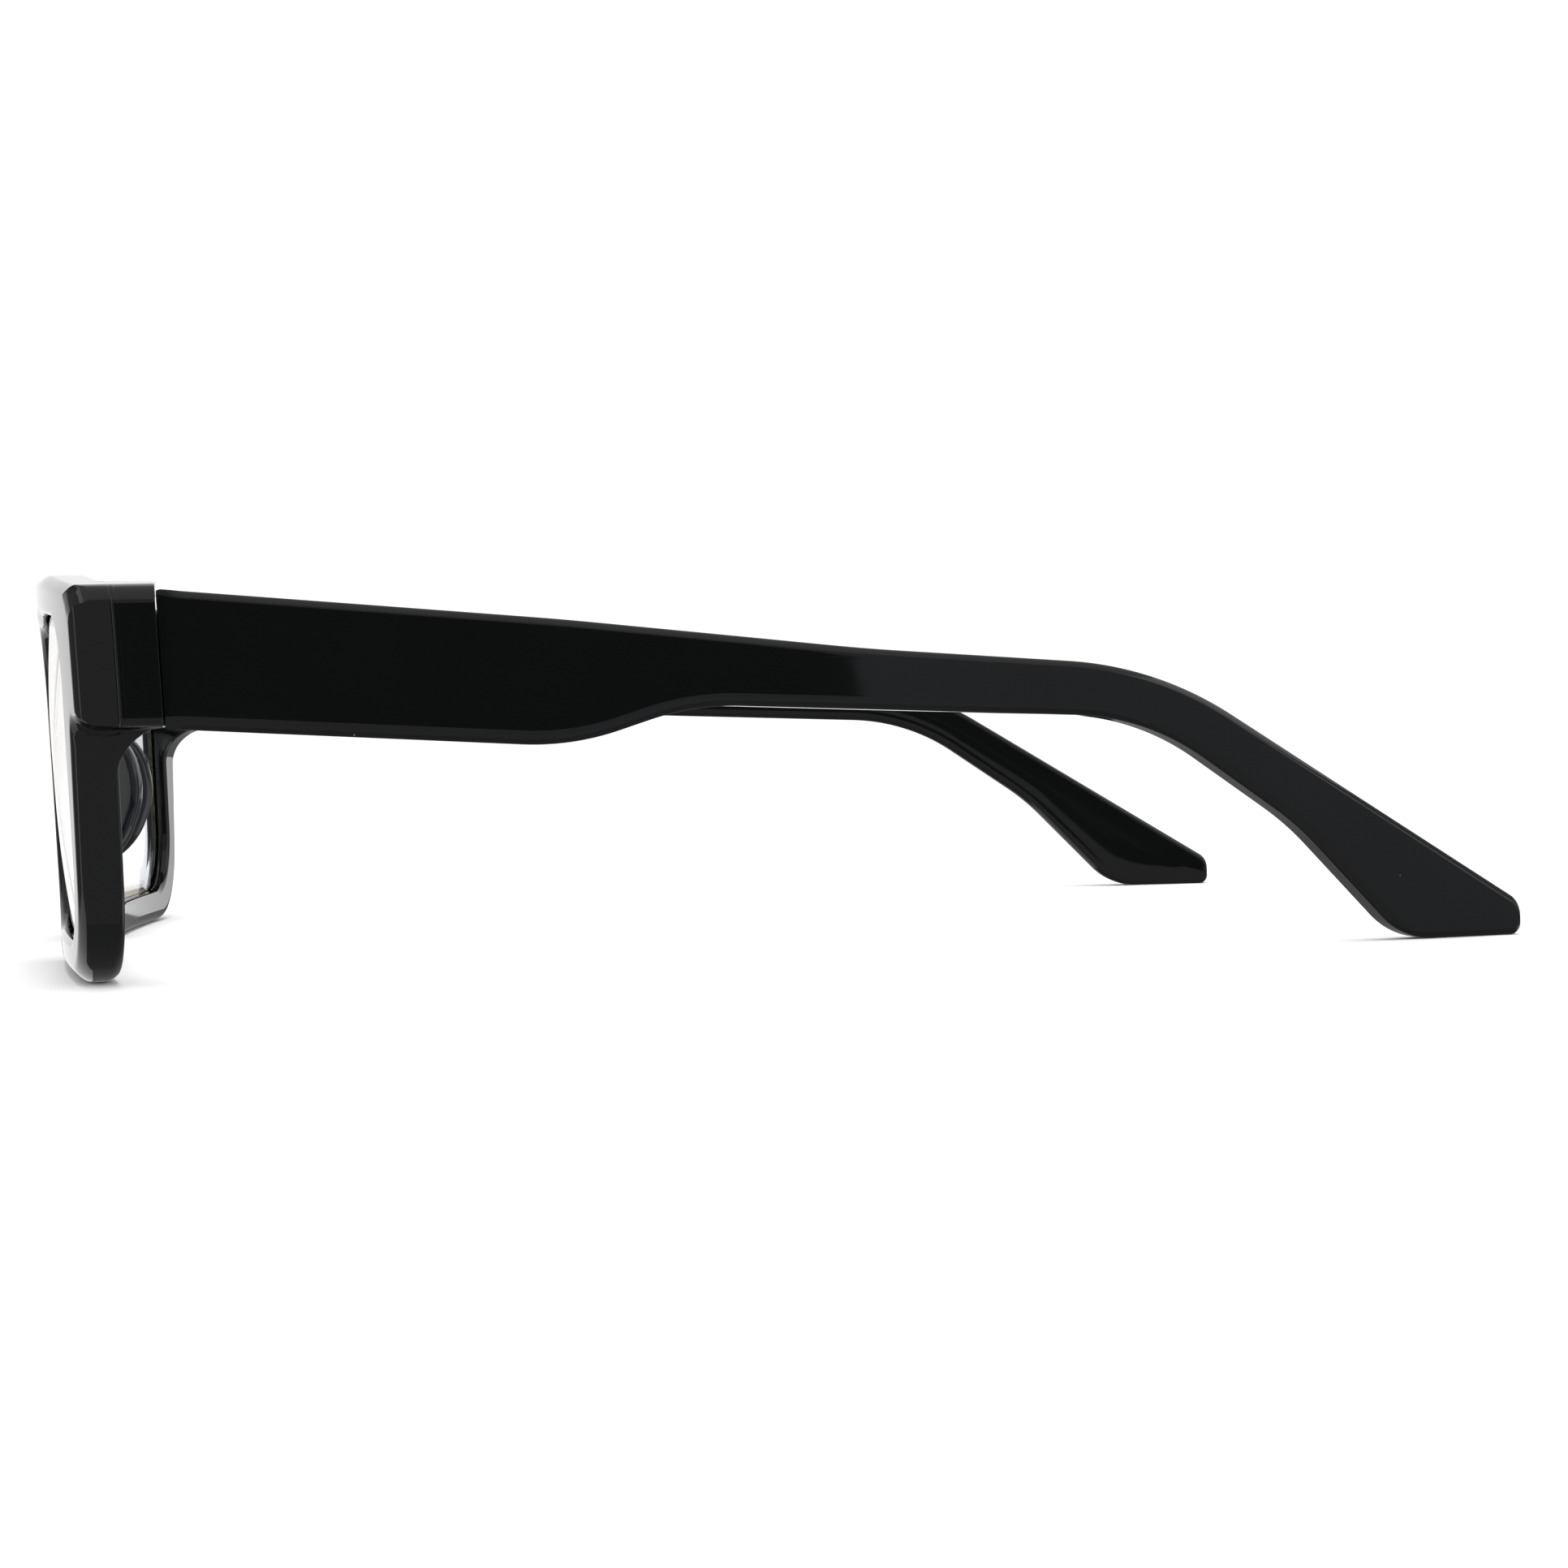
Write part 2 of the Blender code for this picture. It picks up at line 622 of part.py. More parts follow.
finish(front, acetate["front_acetate"], root)
finish(lens_left, lens_clear[0], root)
finish(lens_right, lens_clear[1], root)
finish(pad_left, acetate["pad_left_acetate"], root)
finish(pad_right, acetate["pad_right_acetate"], root)
finish(front_hinge_left, hinge_steel, root)
finish(front_hinge_right, hinge_steel, root)
finish(screw_left, screw_steel, root)
finish(screw_right, screw_steel, root)
finish(temple_left, acetate["temple_left_acetate"], left_axis)
finish(temple_hinge_left, hinge_steel, left_axis)
finish(wire_left, wire_steel, left_axis)
finish(temple_right, acetate["temple_right_acetate"], right_axis)
finish(temple_hinge_right, hinge_steel, right_axis)
finish(wire_right, wire_steel, right_axis)
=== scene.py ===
import math

import bmesh
import bpy
import numpy as np
from mathutils import Matrix, Vector


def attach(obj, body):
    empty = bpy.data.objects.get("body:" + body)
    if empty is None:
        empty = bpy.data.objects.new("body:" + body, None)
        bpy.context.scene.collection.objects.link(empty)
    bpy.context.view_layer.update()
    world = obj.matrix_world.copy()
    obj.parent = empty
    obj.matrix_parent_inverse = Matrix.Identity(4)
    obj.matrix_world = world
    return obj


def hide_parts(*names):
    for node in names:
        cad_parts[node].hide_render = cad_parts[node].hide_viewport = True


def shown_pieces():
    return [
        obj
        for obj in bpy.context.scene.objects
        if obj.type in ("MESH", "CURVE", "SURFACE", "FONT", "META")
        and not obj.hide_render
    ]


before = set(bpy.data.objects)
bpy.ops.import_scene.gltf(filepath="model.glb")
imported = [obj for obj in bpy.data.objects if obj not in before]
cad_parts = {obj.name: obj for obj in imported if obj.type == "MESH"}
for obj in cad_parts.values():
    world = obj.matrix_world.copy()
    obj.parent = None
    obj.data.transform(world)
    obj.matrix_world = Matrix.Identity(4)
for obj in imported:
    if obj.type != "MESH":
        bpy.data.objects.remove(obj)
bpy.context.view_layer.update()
mm = 0.001
seamY = -0.06142  # where the front meets the temples, along the object's Y
weldGap = 0.002 * mm
sharpAngle = math.radians(38)
print("frame loaded:", len(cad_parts), "solids")


def unit(v):
    return v / np.linalg.norm(v)


class Outline:
    # A polygon whose corners are arcs, and the same outline pulled in by any distance.
    # corners: a, b, corner radius, pull. The pull is how strongly the run after that corner moves in with
    # the bevel. side is 1 where the material lies left of the way the outline runs, -1 where it lies right.
    def __init__(self, corners, side=1, closed=True):
        table = np.array(corners, float)
        self.points = table[:, :2] * mm
        self.radii = table[:, 2] * mm
        self.pulls = table[:, 3]
        self.side = side
        self.closed = closed
        self.count = len(table)
        runs = np.roll(self.points, -1, 0) - self.points
        self.ways = runs / np.linalg.norm(runs, axis=1)[:, None]
        self.normals = side * np.stack([-self.ways[:, 1], self.ways[:, 0]], 1)
        self.lengths = self.stretchLengths()

    # The corner's arc after the pull: centre, start arm and signed turn. The pulled corner is where its two
    # neighbouring runs, each moved in by its own distance, cross.
    def corner(self, i, pull):
        last = self.count - 1
        before = self.normals[i - 1]
        after = self.normals[i]
        if not self.closed and i == 0:
            return self.points[i] + after * pull * self.pulls[i], None, 0.0
        if not self.closed and i == last:
            return self.points[i] + before * pull * self.pulls[i - 1], None, 0.0
        first, second = pull * self.pulls[i - 1], pull * self.pulls[i]
        same = before @ after
        if 1 - same * same < 1e-3:
            shift = (before * first + after * second) / (1 + same)
        else:
            shift = ((first - second * same) * before + (second - first * same) * after) / (1 - same * same)
        here = self.points[i] + shift
        if self.radii[i] == 0:
            return here, None, 0.0
        inWay, outWay = self.ways[i - 1], self.ways[i]
        turn = math.atan2(inWay[0] * outWay[1] - inWay[1] * outWay[0], inWay @ outWay)
        radius = self.radii[i] - self.side * np.sign(turn) * (first + second) / 2
        radius = max(radius, 0.03 * mm)
        half = abs(turn) / 2
        centre = here + unit(outWay - inWay) * radius / math.cos(half)
        return centre, here - inWay * radius * math.tan(half) - centre, turn

    # Points at these places. The whole part counts stretches, corner arc then straight run; the rest is how
    # far along the stretch.
    def at(self, places, pull=0.0):
        places = np.asarray(places, float)
        out = np.zeros((len(places), 2))
        stretch = np.minimum(places.astype(int), 2 * self.count - 1)
        part = (places - stretch)[:, None]
        ends = [self.arcEnds(i, pull) for i in range(self.count)]
        for i in range(self.count):
            centre, arm, turn = self.corner(i, pull)
            mine = stretch == 2 * i
            if arm is None:
                out[mine] = centre
            else:
                angle = turn * part[mine]
                c, s = np.cos(angle), np.sin(angle)
                out[mine] = centre + np.hstack([c * arm[0] - s * arm[1], s * arm[0] + c * arm[1]])
            mine = stretch == 2 * i + 1
            following = ends[(i + 1) % self.count][0]
            out[mine] = ends[i][1] + (following - ends[i][1]) * part[mine]
        return out

    def arcEnds(self, i, pull):
        centre, arm, turn = self.corner(i, pull)
        if arm is None:
            return centre, centre
        c, s = math.cos(turn), math.sin(turn)
        return centre + arm, centre + np.array([c * arm[0] - s * arm[1], s * arm[0] + c * arm[1]])

    def stretchLengths(self):
        found = []
        for i in range(self.count):
            _, arm, turn = self.corner(i, 0.0)
            found.append(0.0 if arm is None else abs(turn) * np.linalg.norm(arm))
            run = self.arcEnds((i + 1) % self.count, 0.0)[0] - self.arcEnds(i, 0.0)[1]
            found.append(np.linalg.norm(run))
        return np.array(found if self.closed else found[:-1])

    # From a distance along the outline to its place, and the distance of the point nearest to a mark.
    def placeAt(self, distance):
        edges = np.concatenate([[0], np.cumsum(self.lengths)])
        stretch = np.clip(np.searchsorted(edges, distance, side="right") - 1, 0, len(self.lengths) - 1)
        size = np.maximum(self.lengths[stretch], 1e-9)
        return stretch + np.clip((distance - edges[stretch]) / size, 0, 0.999999)

    def nearest(self, mark):
        distance = np.linspace(0, self.lengths.sum(), 6000)
        gap = np.linalg.norm(self.at(self.placeAt(distance)) - np.array(mark) * mm, axis=1)
        return distance[np.argmin(gap)]

    # A value given for each run, blended across the corner arcs.
    def perRun(self, values, places):
        values = np.array(values, float)
        stretch = np.minimum(places.astype(int), 2 * self.count - 1)
        corner = stretch // 2
        part = places - stretch
        blend = values[corner - 1] + (values[corner] - values[corner - 1]) * part
        return np.where(stretch % 2 == 1, values[corner], blend)


# Two outlines sampled together: both are cut at matching marks, and each stretch gets the same number of steps.
def pairedPlaces(first, second, marks, spacing):
    stops = [(0.0, 0.0)]
    stops += [(first.nearest(a), second.nearest(b)) for a, b in marks]
    stops += [(first.lengths.sum(), second.lengths.sum())]
    firstAt, secondAt = [], []
    for (a0, b0), (a1, b1) in zip(stops, stops[1:]):
        count = max(1, math.ceil(max(a1 - a0, b1 - b0) / spacing))
        t = np.arange(count) / count
        firstAt.append(a0 + (a1 - a0) * t)
        secondAt.append(b0 + (b1 - b0) * t)
    firstAt.append([stops[-1][0]])
    secondAt.append([stops[-1][1]])
    return first.placeAt(np.concatenate(firstAt)), second.placeAt(np.concatenate(secondAt))


# A bevel's shape between face and wall, as shares of its width and depth: a quarter round, or a flat facet with
# soft ends. Both run from the face (1, 0) to the wall (0, 1).
def bevelShape(facet, steps=8):
    angle = np.linspace(0, math.pi / 2, steps + 1)
    roundPart = np.stack([1 - np.sin(angle), 1 - np.cos(angle)], 1)
    # with many steps, the flat facet's ends are cut finer
    share = np.linspace(0, 1, steps + 1)
    if steps == 8:
        share = np.array([0, 0.035, 0.1, 0.2, 0.5, 0.8, 0.9, 0.965, 1.0])
    bulge = 0.03 * np.sin(math.pi * share)
    flatPart = np.stack([1 - share - bulge, share - bulge], 1)
    return roundPart * (1 - facet) + flatPart * facet


def smoothStep(value, low, high):
    t = np.clip((value - low) / (high - low), 0, 1)
    return t * t * (3 - 2 * t)


# Quads between the neighbours of a grid of points, shaped (along, round, 3). Round always closes; along closes
# if asked.
def gridPart(grid, closedAlong, drop=None):
    along, around = grid.shape[:2]
    i, j = np.meshgrid(np.arange(along if closedAlong else along - 1), np.arange(around), indexing="ij")
    i, j = i.ravel(), j.ravel()
    nextI, nextJ = (i + 1) % along, (j + 1) % around
    quads = np.stack([i * around + j, i * around + nextJ, nextI * around + nextJ, nextI * around + j], 1)
    points = grid.reshape(-1, 3)
    if drop is not None:
        quads = quads[~drop(points[quads])]
    return points, quads


def shadeSoftly(mesh):
    mesh.shade_smooth()
    mesh.set_sharp_from_angle(angle=sharpAngle)


def meshPiece(name, parts):
    mesh = bpy.data.meshes.new(name)
    offsets = np.cumsum([0] + [len(points) for points, _ in parts])
    points = np.vstack([points for points, _ in parts])
    faces = np.vstack([quads + offset for (_, quads), offset in zip(parts, offsets)])
    mesh.from_pydata(points.tolist(), [], faces.tolist())
    work = bmesh.new()
    work.from_mesh(mesh)
    bmesh.ops.remove_doubles(work, verts=work.verts, dist=weldGap)
    bmesh.ops.dissolve_degenerate(work, dist=weldGap / 20, edges=work.edges)
    bmesh.ops.recalc_face_normals(work, faces=work.faces)
    work.to_mesh(mesh)
    work.free()
    shadeSoftly(mesh)
    piece = bpy.data.objects.new(name, mesh)
    bpy.context.scene.collection.objects.link(piece)
    return piece


# Flat faces keep their own normals and the bevels between them carry the turn.
def evenShading(piece):
    shading = piece.modifiers.new("even shading", "WEIGHTED_NORMAL")
    shading.keep_sharp = True
    shading.weight = 60


def mirroredPiece(piece, name):
    mesh = piece.data.copy()
    mesh.transform(Matrix.Scale(-1, 4, (1, 0, 0)))
    mesh.flip_normals()
    twin = bpy.data.objects.new(name, mesh)
    bpy.context.scene.collection.objects.link(twin)
    return twin


cameraSettings = {
    "place": (0.36763, 0.01271, 0.02426),  # from the seam, in metres
    "yaw": 8.83,  # degrees to the right of straight across
    "pitch": -1.16,
    "roll": -1.45,
    "lens": 71.46,
}


def makeCamera(settings):
    yaw, pitch, roll = (math.radians(settings[k]) for k in ("yaw", "pitch", "roll"))
    right, up, ahead = np.array([0, 1.0, 0]), np.array([0, 0, 1.0]), np.array([-1.0, 0, 0])
    ahead, right = math.cos(yaw) * ahead + math.sin(yaw) * right, math.cos(yaw) * right - math.sin(yaw) * ahead
    ahead, up = math.cos(pitch) * ahead + math.sin(pitch) * up, math.cos(pitch) * up - math.sin(pitch) * ahead
    right, up = math.cos(roll) * right + math.sin(roll) * up, math.cos(roll) * up - math.sin(roll) * right
    x, y, z = settings["place"]
    data = bpy.data.cameras.new("camera")
    data.lens = settings["lens"]
    data.sensor_width = 36
    data.clip_start = 0.01
    camera = bpy.data.objects.new("camera", data)
    camera.matrix_world = Matrix((
        (right[0], up[0], -ahead[0], x),
        (right[1], up[1], -ahead[1], y + seamY),
        (right[2], up[2], -ahead[2], z),
        (0, 0, 0, 1),
    ))
    bpy.context.scene.collection.objects.link(camera)
    bpy.context.scene.camera = camera


makeCamera(cameraSettings)
print("camera placed")


frontShape = {
    "wrapRadius": 345.0,  # the front is bent to this radius across the face
    "depth": 4.4,
    "middleY": -13.93,
    "lean": 0.045,  # the top leans forward
    "seamLean": 2.3,
    "seamGap": 0.02,
    "sweepRadius": 4.6,  # the rim's rear edge sweeps back to the end piece on this radius
    "sweepFrom": 20.5,
    "spacing": 0.5,
    "middleHeights": (39.3, 27.6),  # the bridge's middle plane, top and bottom
    "middleSteps": 16,
    "frontBevelWidth": 1.3,
    "backBevelWidth": 0.8,
    "rearFaceInset": 1.1,
    "openingBevels": (0.45, 0.5),  # round the lens, rear and front
    "openingInsets": (0.6, 0.7),
    "groove": [(0.0, 3.0), (1.05, 2.75), (1.05, 1.25), (0.0, 1.0)],  # pull into the rim, depth
    "creaseDepth": 2.4,
    "creaseClearance": 0.35,
    # fine lines beside the crease of the end piece: depth from the crease, and how far they cut in
    "creaseLines": [(-0.34, 0), (-0.28, 0.06), (-0.22, 0), (0, 0), (0.22, 0), (0.28, 0.06), (0.34, 0)],
    # spans of x over which the end piece gains its depth on top and beside the lens, and flares out
    "topFade": (60.5, 64.5),
    "openingFade": (58.8, 61.6),
    "flareSpan": (67.5, 70.3),
    "sweepFromX": 60.0,
    "endPieceX": 64.5,
    "underEndPiece": 12.0,  # the outline's place where the end piece's lower side ends
    "flareSlope": 0.36,  # out per depth, up to the crease
    "flareTaper": -0.03,  # and behind it
    # x, z, corner radius, bevel pull of the run that follows
    "outer": [
        (0.0, 27.6, 0, 1.0),
        (4.6, 27.6, 5, 1.1),
        (9.4, 19.5, 14, 1.1),
        (16.6, 0.0, 7, 1.7),
        (60.9, 0.0, 12, 0.7),
        (66.6, 25.1, 1.3, 1.6),
        (70.85, 25.25, 0.6, 0.6),
        (70.95, 37.0, 0.4, 1.6),
        (69.45, 38.7, 0.6, 1.1),
        (47.0, 40.8, 90, 1.1),
        (24.0, 41.7, 70, 1.1),
        (9.0, 39.6, 55, 1.1),
        (0.0, 39.3, 0, 1.0),
    ],
    # one value for each run: how deep the front and rear bevels are, and how strongly the rear one pulls in
    "frontBevelDepth": [1.0, 1.0, 1.0, 1.9, 0.75, 3.3, 0.75, 2.1, 1.2, 1.2, 1.1, 1.1, 1.0],
    "backBevelDepth": [0.9, 0.9, 0.9, 1.7, 0.35, 0.2, 0.05, 0.05, 0.2, 0.9, 0.9, 0.9, 0.9],
    "backPull": [0.8, 0.8, 0.8, 1.4, 0.35, 0.15, 0.05, 0.05, 0.2, 0.9, 0.9, 0.9, 0.8],
    "lens": [
        (17.6, 4.0, 9.5, 1.0),
        (59.0, 4.0, 9.5, 1.0),
        (62.6, 35.8, 6.5, 1.0),
        (38.0, 37.4, 120, 1.0),
        (9.8, 36.0, 7, 1.0),
        (12.3, 20.0, 25, 1.0),
    ],
    # matching places on the outer outline and round the lens
    "marks": [
        ((4.6, 27.0), (10.9, 26.4)),
        ((8.5, 20.8), (12.0, 21.0)),
        ((13.6, 8.0), (14.6, 10.5)),
        ((18.5, 0.8), (18.4, 5.2)),
        ((26.0, 0.0), (26.0, 4.0)),
        ((50.0, 0.0), (50.0, 4.0)),
        ((59.5, 2.6), (57.6, 5.4)),
        ((63.2, 10.0), (60.0, 12.0)),
        ((65.6, 20.0), (61.0, 21.0)),
        ((66.6, 24.6), (61.3, 24.6)),
        ((70.4, 25.3), (61.6, 26.2)),
        ((70.9, 31.0), (62.1, 31.0)),
        ((70.3, 37.9), (62.0, 34.2)),
        ((66.0, 38.7), (60.6, 35.8)),
        ((57.0, 39.7), (56.0, 36.3)),
        ((38.0, 41.2), (38.0, 37.3)),
        ((16.0, 41.0), (17.0, 36.4)),
        ((5.0, 39.4), (11.0, 34.6)),
    ],
}


def frontPoint(x, c, z, shape):
    # out on the wrap's arc, thickness along its radius; anything deeper than the plate runs straight back
    radius = shape["wrapRadius"] * mm
    plate = np.minimum(c, shape["depth"] * mm)
    angle = x / radius
    y = shape["middleY"] * mm + radius - (radius - plate) * np.cos(angle) - shape["lean"] * z + (c - plate)
    return (radius - plate) * np.sin(angle), y


def seamPlane(z, shape):
    return -math.tan(math.radians(shape["seamLean"])) * (z - 31.5 * mm) - shape["seamGap"] * mm


# Places on the front's outer outline and round the lens that belong together, a share of the bridge's middle
# plane for the points that close the loop, and the lens places with those added.
def frontPlaces(outer, lens, shape):
    # the lens outline starts beside the bridge, so that both outlines begin together
    start = lens.nearest((10.55, 28.8))
    total = lens.lengths.sum()
    stops = [(0.0, start)]
    for a, b in shape["marks"]:
        stops.append((outer.nearest(a), start + (lens.nearest(b) - start) % total))
    stops.append((outer.lengths.sum(), start + (lens.nearest((10.25, 32.4)) - start) % total))
    atOuter, atLens = [], []
    spacing = shape["spacing"] * mm
    for (a0, b0), (a1, b1) in zip(stops, stops[1:]):
        steps = max(1, math.ceil(max(a1 - a0, b1 - b0) / spacing))
        t = np.arange(steps) / steps
        atOuter.append(a0 + (a1 - a0) * t)
        atLens.append(b0 + (b1 - b0) * t)
    atOuter.append([stops[-1][0]])
    atLens.append([stops[-1][1]])
    # the bridge's middle plane closes the loop, with no bevel
    t = np.arange(1, shape["middleSteps"]) / shape["middleSteps"]
    lensEnd = stops[-1][1] + (start + total - stops[-1][1]) * t
    lensPlaces = lens.placeAt(np.concatenate([*atLens, lensEnd]) % total)
    return outer.placeAt(np.concatenate(atOuter)), lensPlaces, t


# How much of the end piece's depth each place has, round the outside and round the lens, and how much it flares.
def frontDeepening(flat, lensFlat, outerPlaces, t, shape):
    def sweepAt(height):
        # a quarter circle from the rim's rear face back to the end piece
        rising = np.clip(height / shape["sweepRadius"], 0, 1)
        return 1 - np.sqrt(1 - rising ** 2)

    x, z = flat[:, 0] / mm, flat[:, 1] / mm
    # it sweeps in below, and slopes away along the top
    below = outerPlaces < shape["underEndPiece"]
    sweep = sweepAt(z - shape["sweepFrom"]) * (x > shape["sweepFromX"])
    deepOuter = np.where(below, sweep, smoothStep(x, *shape["topFade"]))
    deepOuter = np.where(~below & (x > shape["endPieceX"]), 1.0, deepOuter)
    deepOuter = np.concatenate([deepOuter, np.zeros(len(t))])
    lensSweep = sweepAt(lensFlat[:, 1] / mm - shape["sweepFrom"] - 0.3)
    deepLens = lensSweep * smoothStep(lensFlat[:, 0] / mm, *shape["openingFade"])
    flare = np.concatenate([smoothStep(x, *shape["flareSpan"]), np.zeros(len(t))])
    return deepOuter, deepLens, flare


def makeFront(shape):
    outer = Outline(shape["outer"], 1, False)
    back = Outline([(*corner[:3], pull) for corner, pull in zip(shape["outer"], shape["backPull"])], 1, False)
    lens = Outline(shape["lens"], -1, True)
    outerPlaces, lensPlaces, t = frontPlaces(outer, lens, shape)
    along = len(outerPlaces)
    both = along + len(t)

    def outerAt(pull, outline=outer):
        found = outline.at(outerPlaces, pull)
        top, bottom = (np.array([0.0, height]) * mm for height in shape["middleHeights"])
        top[1] -= shape["rearFaceInset"] * mm
        bottom[1] += shape["rearFaceInset"] * mm
        return np.vstack([found, top + (bottom - top) * t[:, None]])

    def depthPerRun(values):
        return np.concatenate([outer.perRun(values, outerPlaces), np.ones(len(t))]) * mm

    frontDeep, backDeep = depthPerRun(shape["frontBevelDepth"]), depthPerRun(shape["backBevelDepth"])
    flat, lensFlat = outer.at(outerPlaces), lens.at(lensPlaces)
    deepOuter, deepLens, flare = frontDeepening(flat, lensFlat, outerPlaces, t, shape)

    columns = []  # each: x and z in the flat front, depth, share of the extra depth

    def column(xz, depth, anchored, deep):
        columns.append((xz, np.broadcast_to(depth, both), anchored * np.broadcast_to(deep, both)))

    plate = shape["depth"] * mm
    bevelOut = bevelShape(0.35)
    bevelBack = bevelShape(0.15)
    bevelLens = bevelShape(0.6, 4)

    # outer edge, from the front face round to the rear face
    frontBevel, backBevel = shape["frontBevelWidth"] * mm, shape["backBevelWidth"] * mm
    column(outerAt(frontBevel), 0.0, 0, 0)
    for width, deep in bevelOut:
        column(outerAt(width * mm), deep * frontDeep, 0, 0)
    onEndPiece = deepOuter > 0.5
    crease = np.minimum(plate - backDeep - shape["creaseClearance"] * mm, shape["creaseDepth"] * mm)
    crease = np.where(onEndPiece, plate, crease)
    for step, inward in shape["creaseLines"]:
        xz = outerAt(0.0)
        xz[:, 0] -= inward * mm * flare * onEndPiece
        column(xz, crease + step * mm * onEndPiece, 0, 0)
    for width, deep in bevelBack[::-1]:
        column(outerAt(width * backBevel, back), plate - deep * backDeep, 1, deepOuter)
    outerColumns = len(columns)
    # rear face, from the outer edge to the lens opening
    rearOuter = outerAt(shape["rearFaceInset"] * mm, back)
    rearInset, frontInset = (v * mm for v in shape["openingInsets"])
    rearSoft, frontSoft = (v * mm for v in shape["openingBevels"])
    rearLens = lens.at(lensPlaces, rearInset)
    for share in np.linspace(0, 1, 9):
        xz = rearOuter + (rearLens - rearOuter) * share
        column(xz, plate, 1, deepOuter + (deepLens - deepOuter) * share)
    # the opening's edge with the groove that holds the lens
    for width, deep in bevelLens:
        column(lens.at(lensPlaces, width * rearSoft), plate - deep * rearSoft, 1, deepLens)
    for pull, depth in shape["groove"]:
        column(lens.at(lensPlaces, pull * mm), depth * mm, 0, 0)
    for width, deep in bevelLens[::-1]:
        column(lens.at(lensPlaces, width * frontSoft), deep * frontSoft, 0, 0)
    # front face, back to the outer edge
    frontOuter = outerAt(frontBevel)
    frontLens = lens.at(lensPlaces, frontInset)
    for share in np.linspace(1, 0, 10)[:-1]:
        column(frontOuter + (frontLens - frontOuter) * share, 0.0, 0, 0)

    xz = np.stack([c[0] for c in columns], 1)
    depth = np.stack([c[1] for c in columns], 1)
    deep = np.stack([c[2] for c in columns], 1)
    x, z = xz[..., 0], xz[..., 1]
    _, rearY = frontPoint(x, np.full_like(x, plate), z, shape)
    depth = depth + deep * (seamPlane(z, shape) - rearY)
    isEdge = np.arange(len(columns)) < outerColumns
    turnedOut = shape["flareSlope"] * np.minimum(depth, plate) * flare[:, None] * isEdge
    pastPlate = shape["flareTaper"] * np.maximum(depth - plate, 0) * flare[:, None] * isEdge
    px, py = frontPoint(x, depth, z, shape)
    px = px + turnedOut + pastPlate
    px[[0, along - 1], : outerColumns + 1] = 0.0
    grid = np.stack([px, py + seamY, z], 2)
    # faces that lie in the middle plane are left out
    inMiddle = lambda quads: (np.abs(quads[:, :, 0]) < 1e-7).all(1)
    half = meshPiece("front_half", [gridPart(grid, True, inMiddle)])
    # the other half is the first one's mirror image, welded at the bridge
    work = bmesh.new()
    work.from_mesh(half.data)
    other = half.data.copy()
    other.transform(Matrix.Scale(-1, 4, (1, 0, 0)))
    other.flip_normals()
    work.from_mesh(other)
    bmesh.ops.remove_doubles(work, verts=work.verts, dist=weldGap)
    bmesh.ops.recalc_face_normals(work, faces=work.faces)
    work.to_mesh(half.data)
    work.free()
    shadeSoftly(half.data)
    half.name = "polished_front"
    return half


front = makeFront(frontShape)
evenShading(front)
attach(front, "front")
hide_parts("front_frame")
print("front made:", len(front.data.polygons), "faces")


# A slab: two faces between outlines that meet at both ends, with bevelled edges.
def slabGrid(upper, lower, places, edge, rows, crown):
    # edge: pull and depth, from one face round the wall to the other
    # crown: how far each face bulges between the outlines
    upperAt, lowerAt = places
    columns = []
    for pull, depth in edge:
        columns.append((upper.at(upperAt, pull), depth))
    share = np.linspace(0, 1, rows + 2)[1:-1]
    a, b = upper.at(upperAt, edge[-1][0]), lower.at(lowerAt, edge[-1][0])
    width = np.linalg.norm(a - b, axis=1)
    limit = np.clip(width / (4 * mm), 0, 1)
    for s in share:
        columns.append((a + (b - a) * s, edge[-1][1] + crown[1] * 4 * s * (1 - s) * limit))
    for pull, depth in edge[::-1]:
        columns.append((lower.at(lowerAt, pull), depth))
    a, b = upper.at(upperAt, edge[0][0]), lower.at(lowerAt, edge[0][0])
    for s in share[::-1]:
        columns.append((a + (b - a) * s, edge[0][1] - crown[0] * 4 * s * (1 - s) * limit))
    flat = np.stack([c[0] for c in columns], 1)
    depth = np.stack([np.broadcast_to(c[1], len(upperAt)) for c in columns], 1)
    return flat, depth


# An edge's path from the inner face round to the outer: (pull, depth) pairs, depth 0 in the middle.
def slabEdge(half, innerBevel, outerBevel, innerFacet, outerFacet, support=0.25 * mm):
    width, deep = innerBevel
    found = [(width + support, -half)]
    found += [(w * width, -half + d * deep) for w, d in bevelShape(innerFacet)]
    width, deep = outerBevel
    found += [(w * width, half - d * deep) for w, d in bevelShape(outerFacet)[::-1]]
    found.append((width + support, half))
    return found


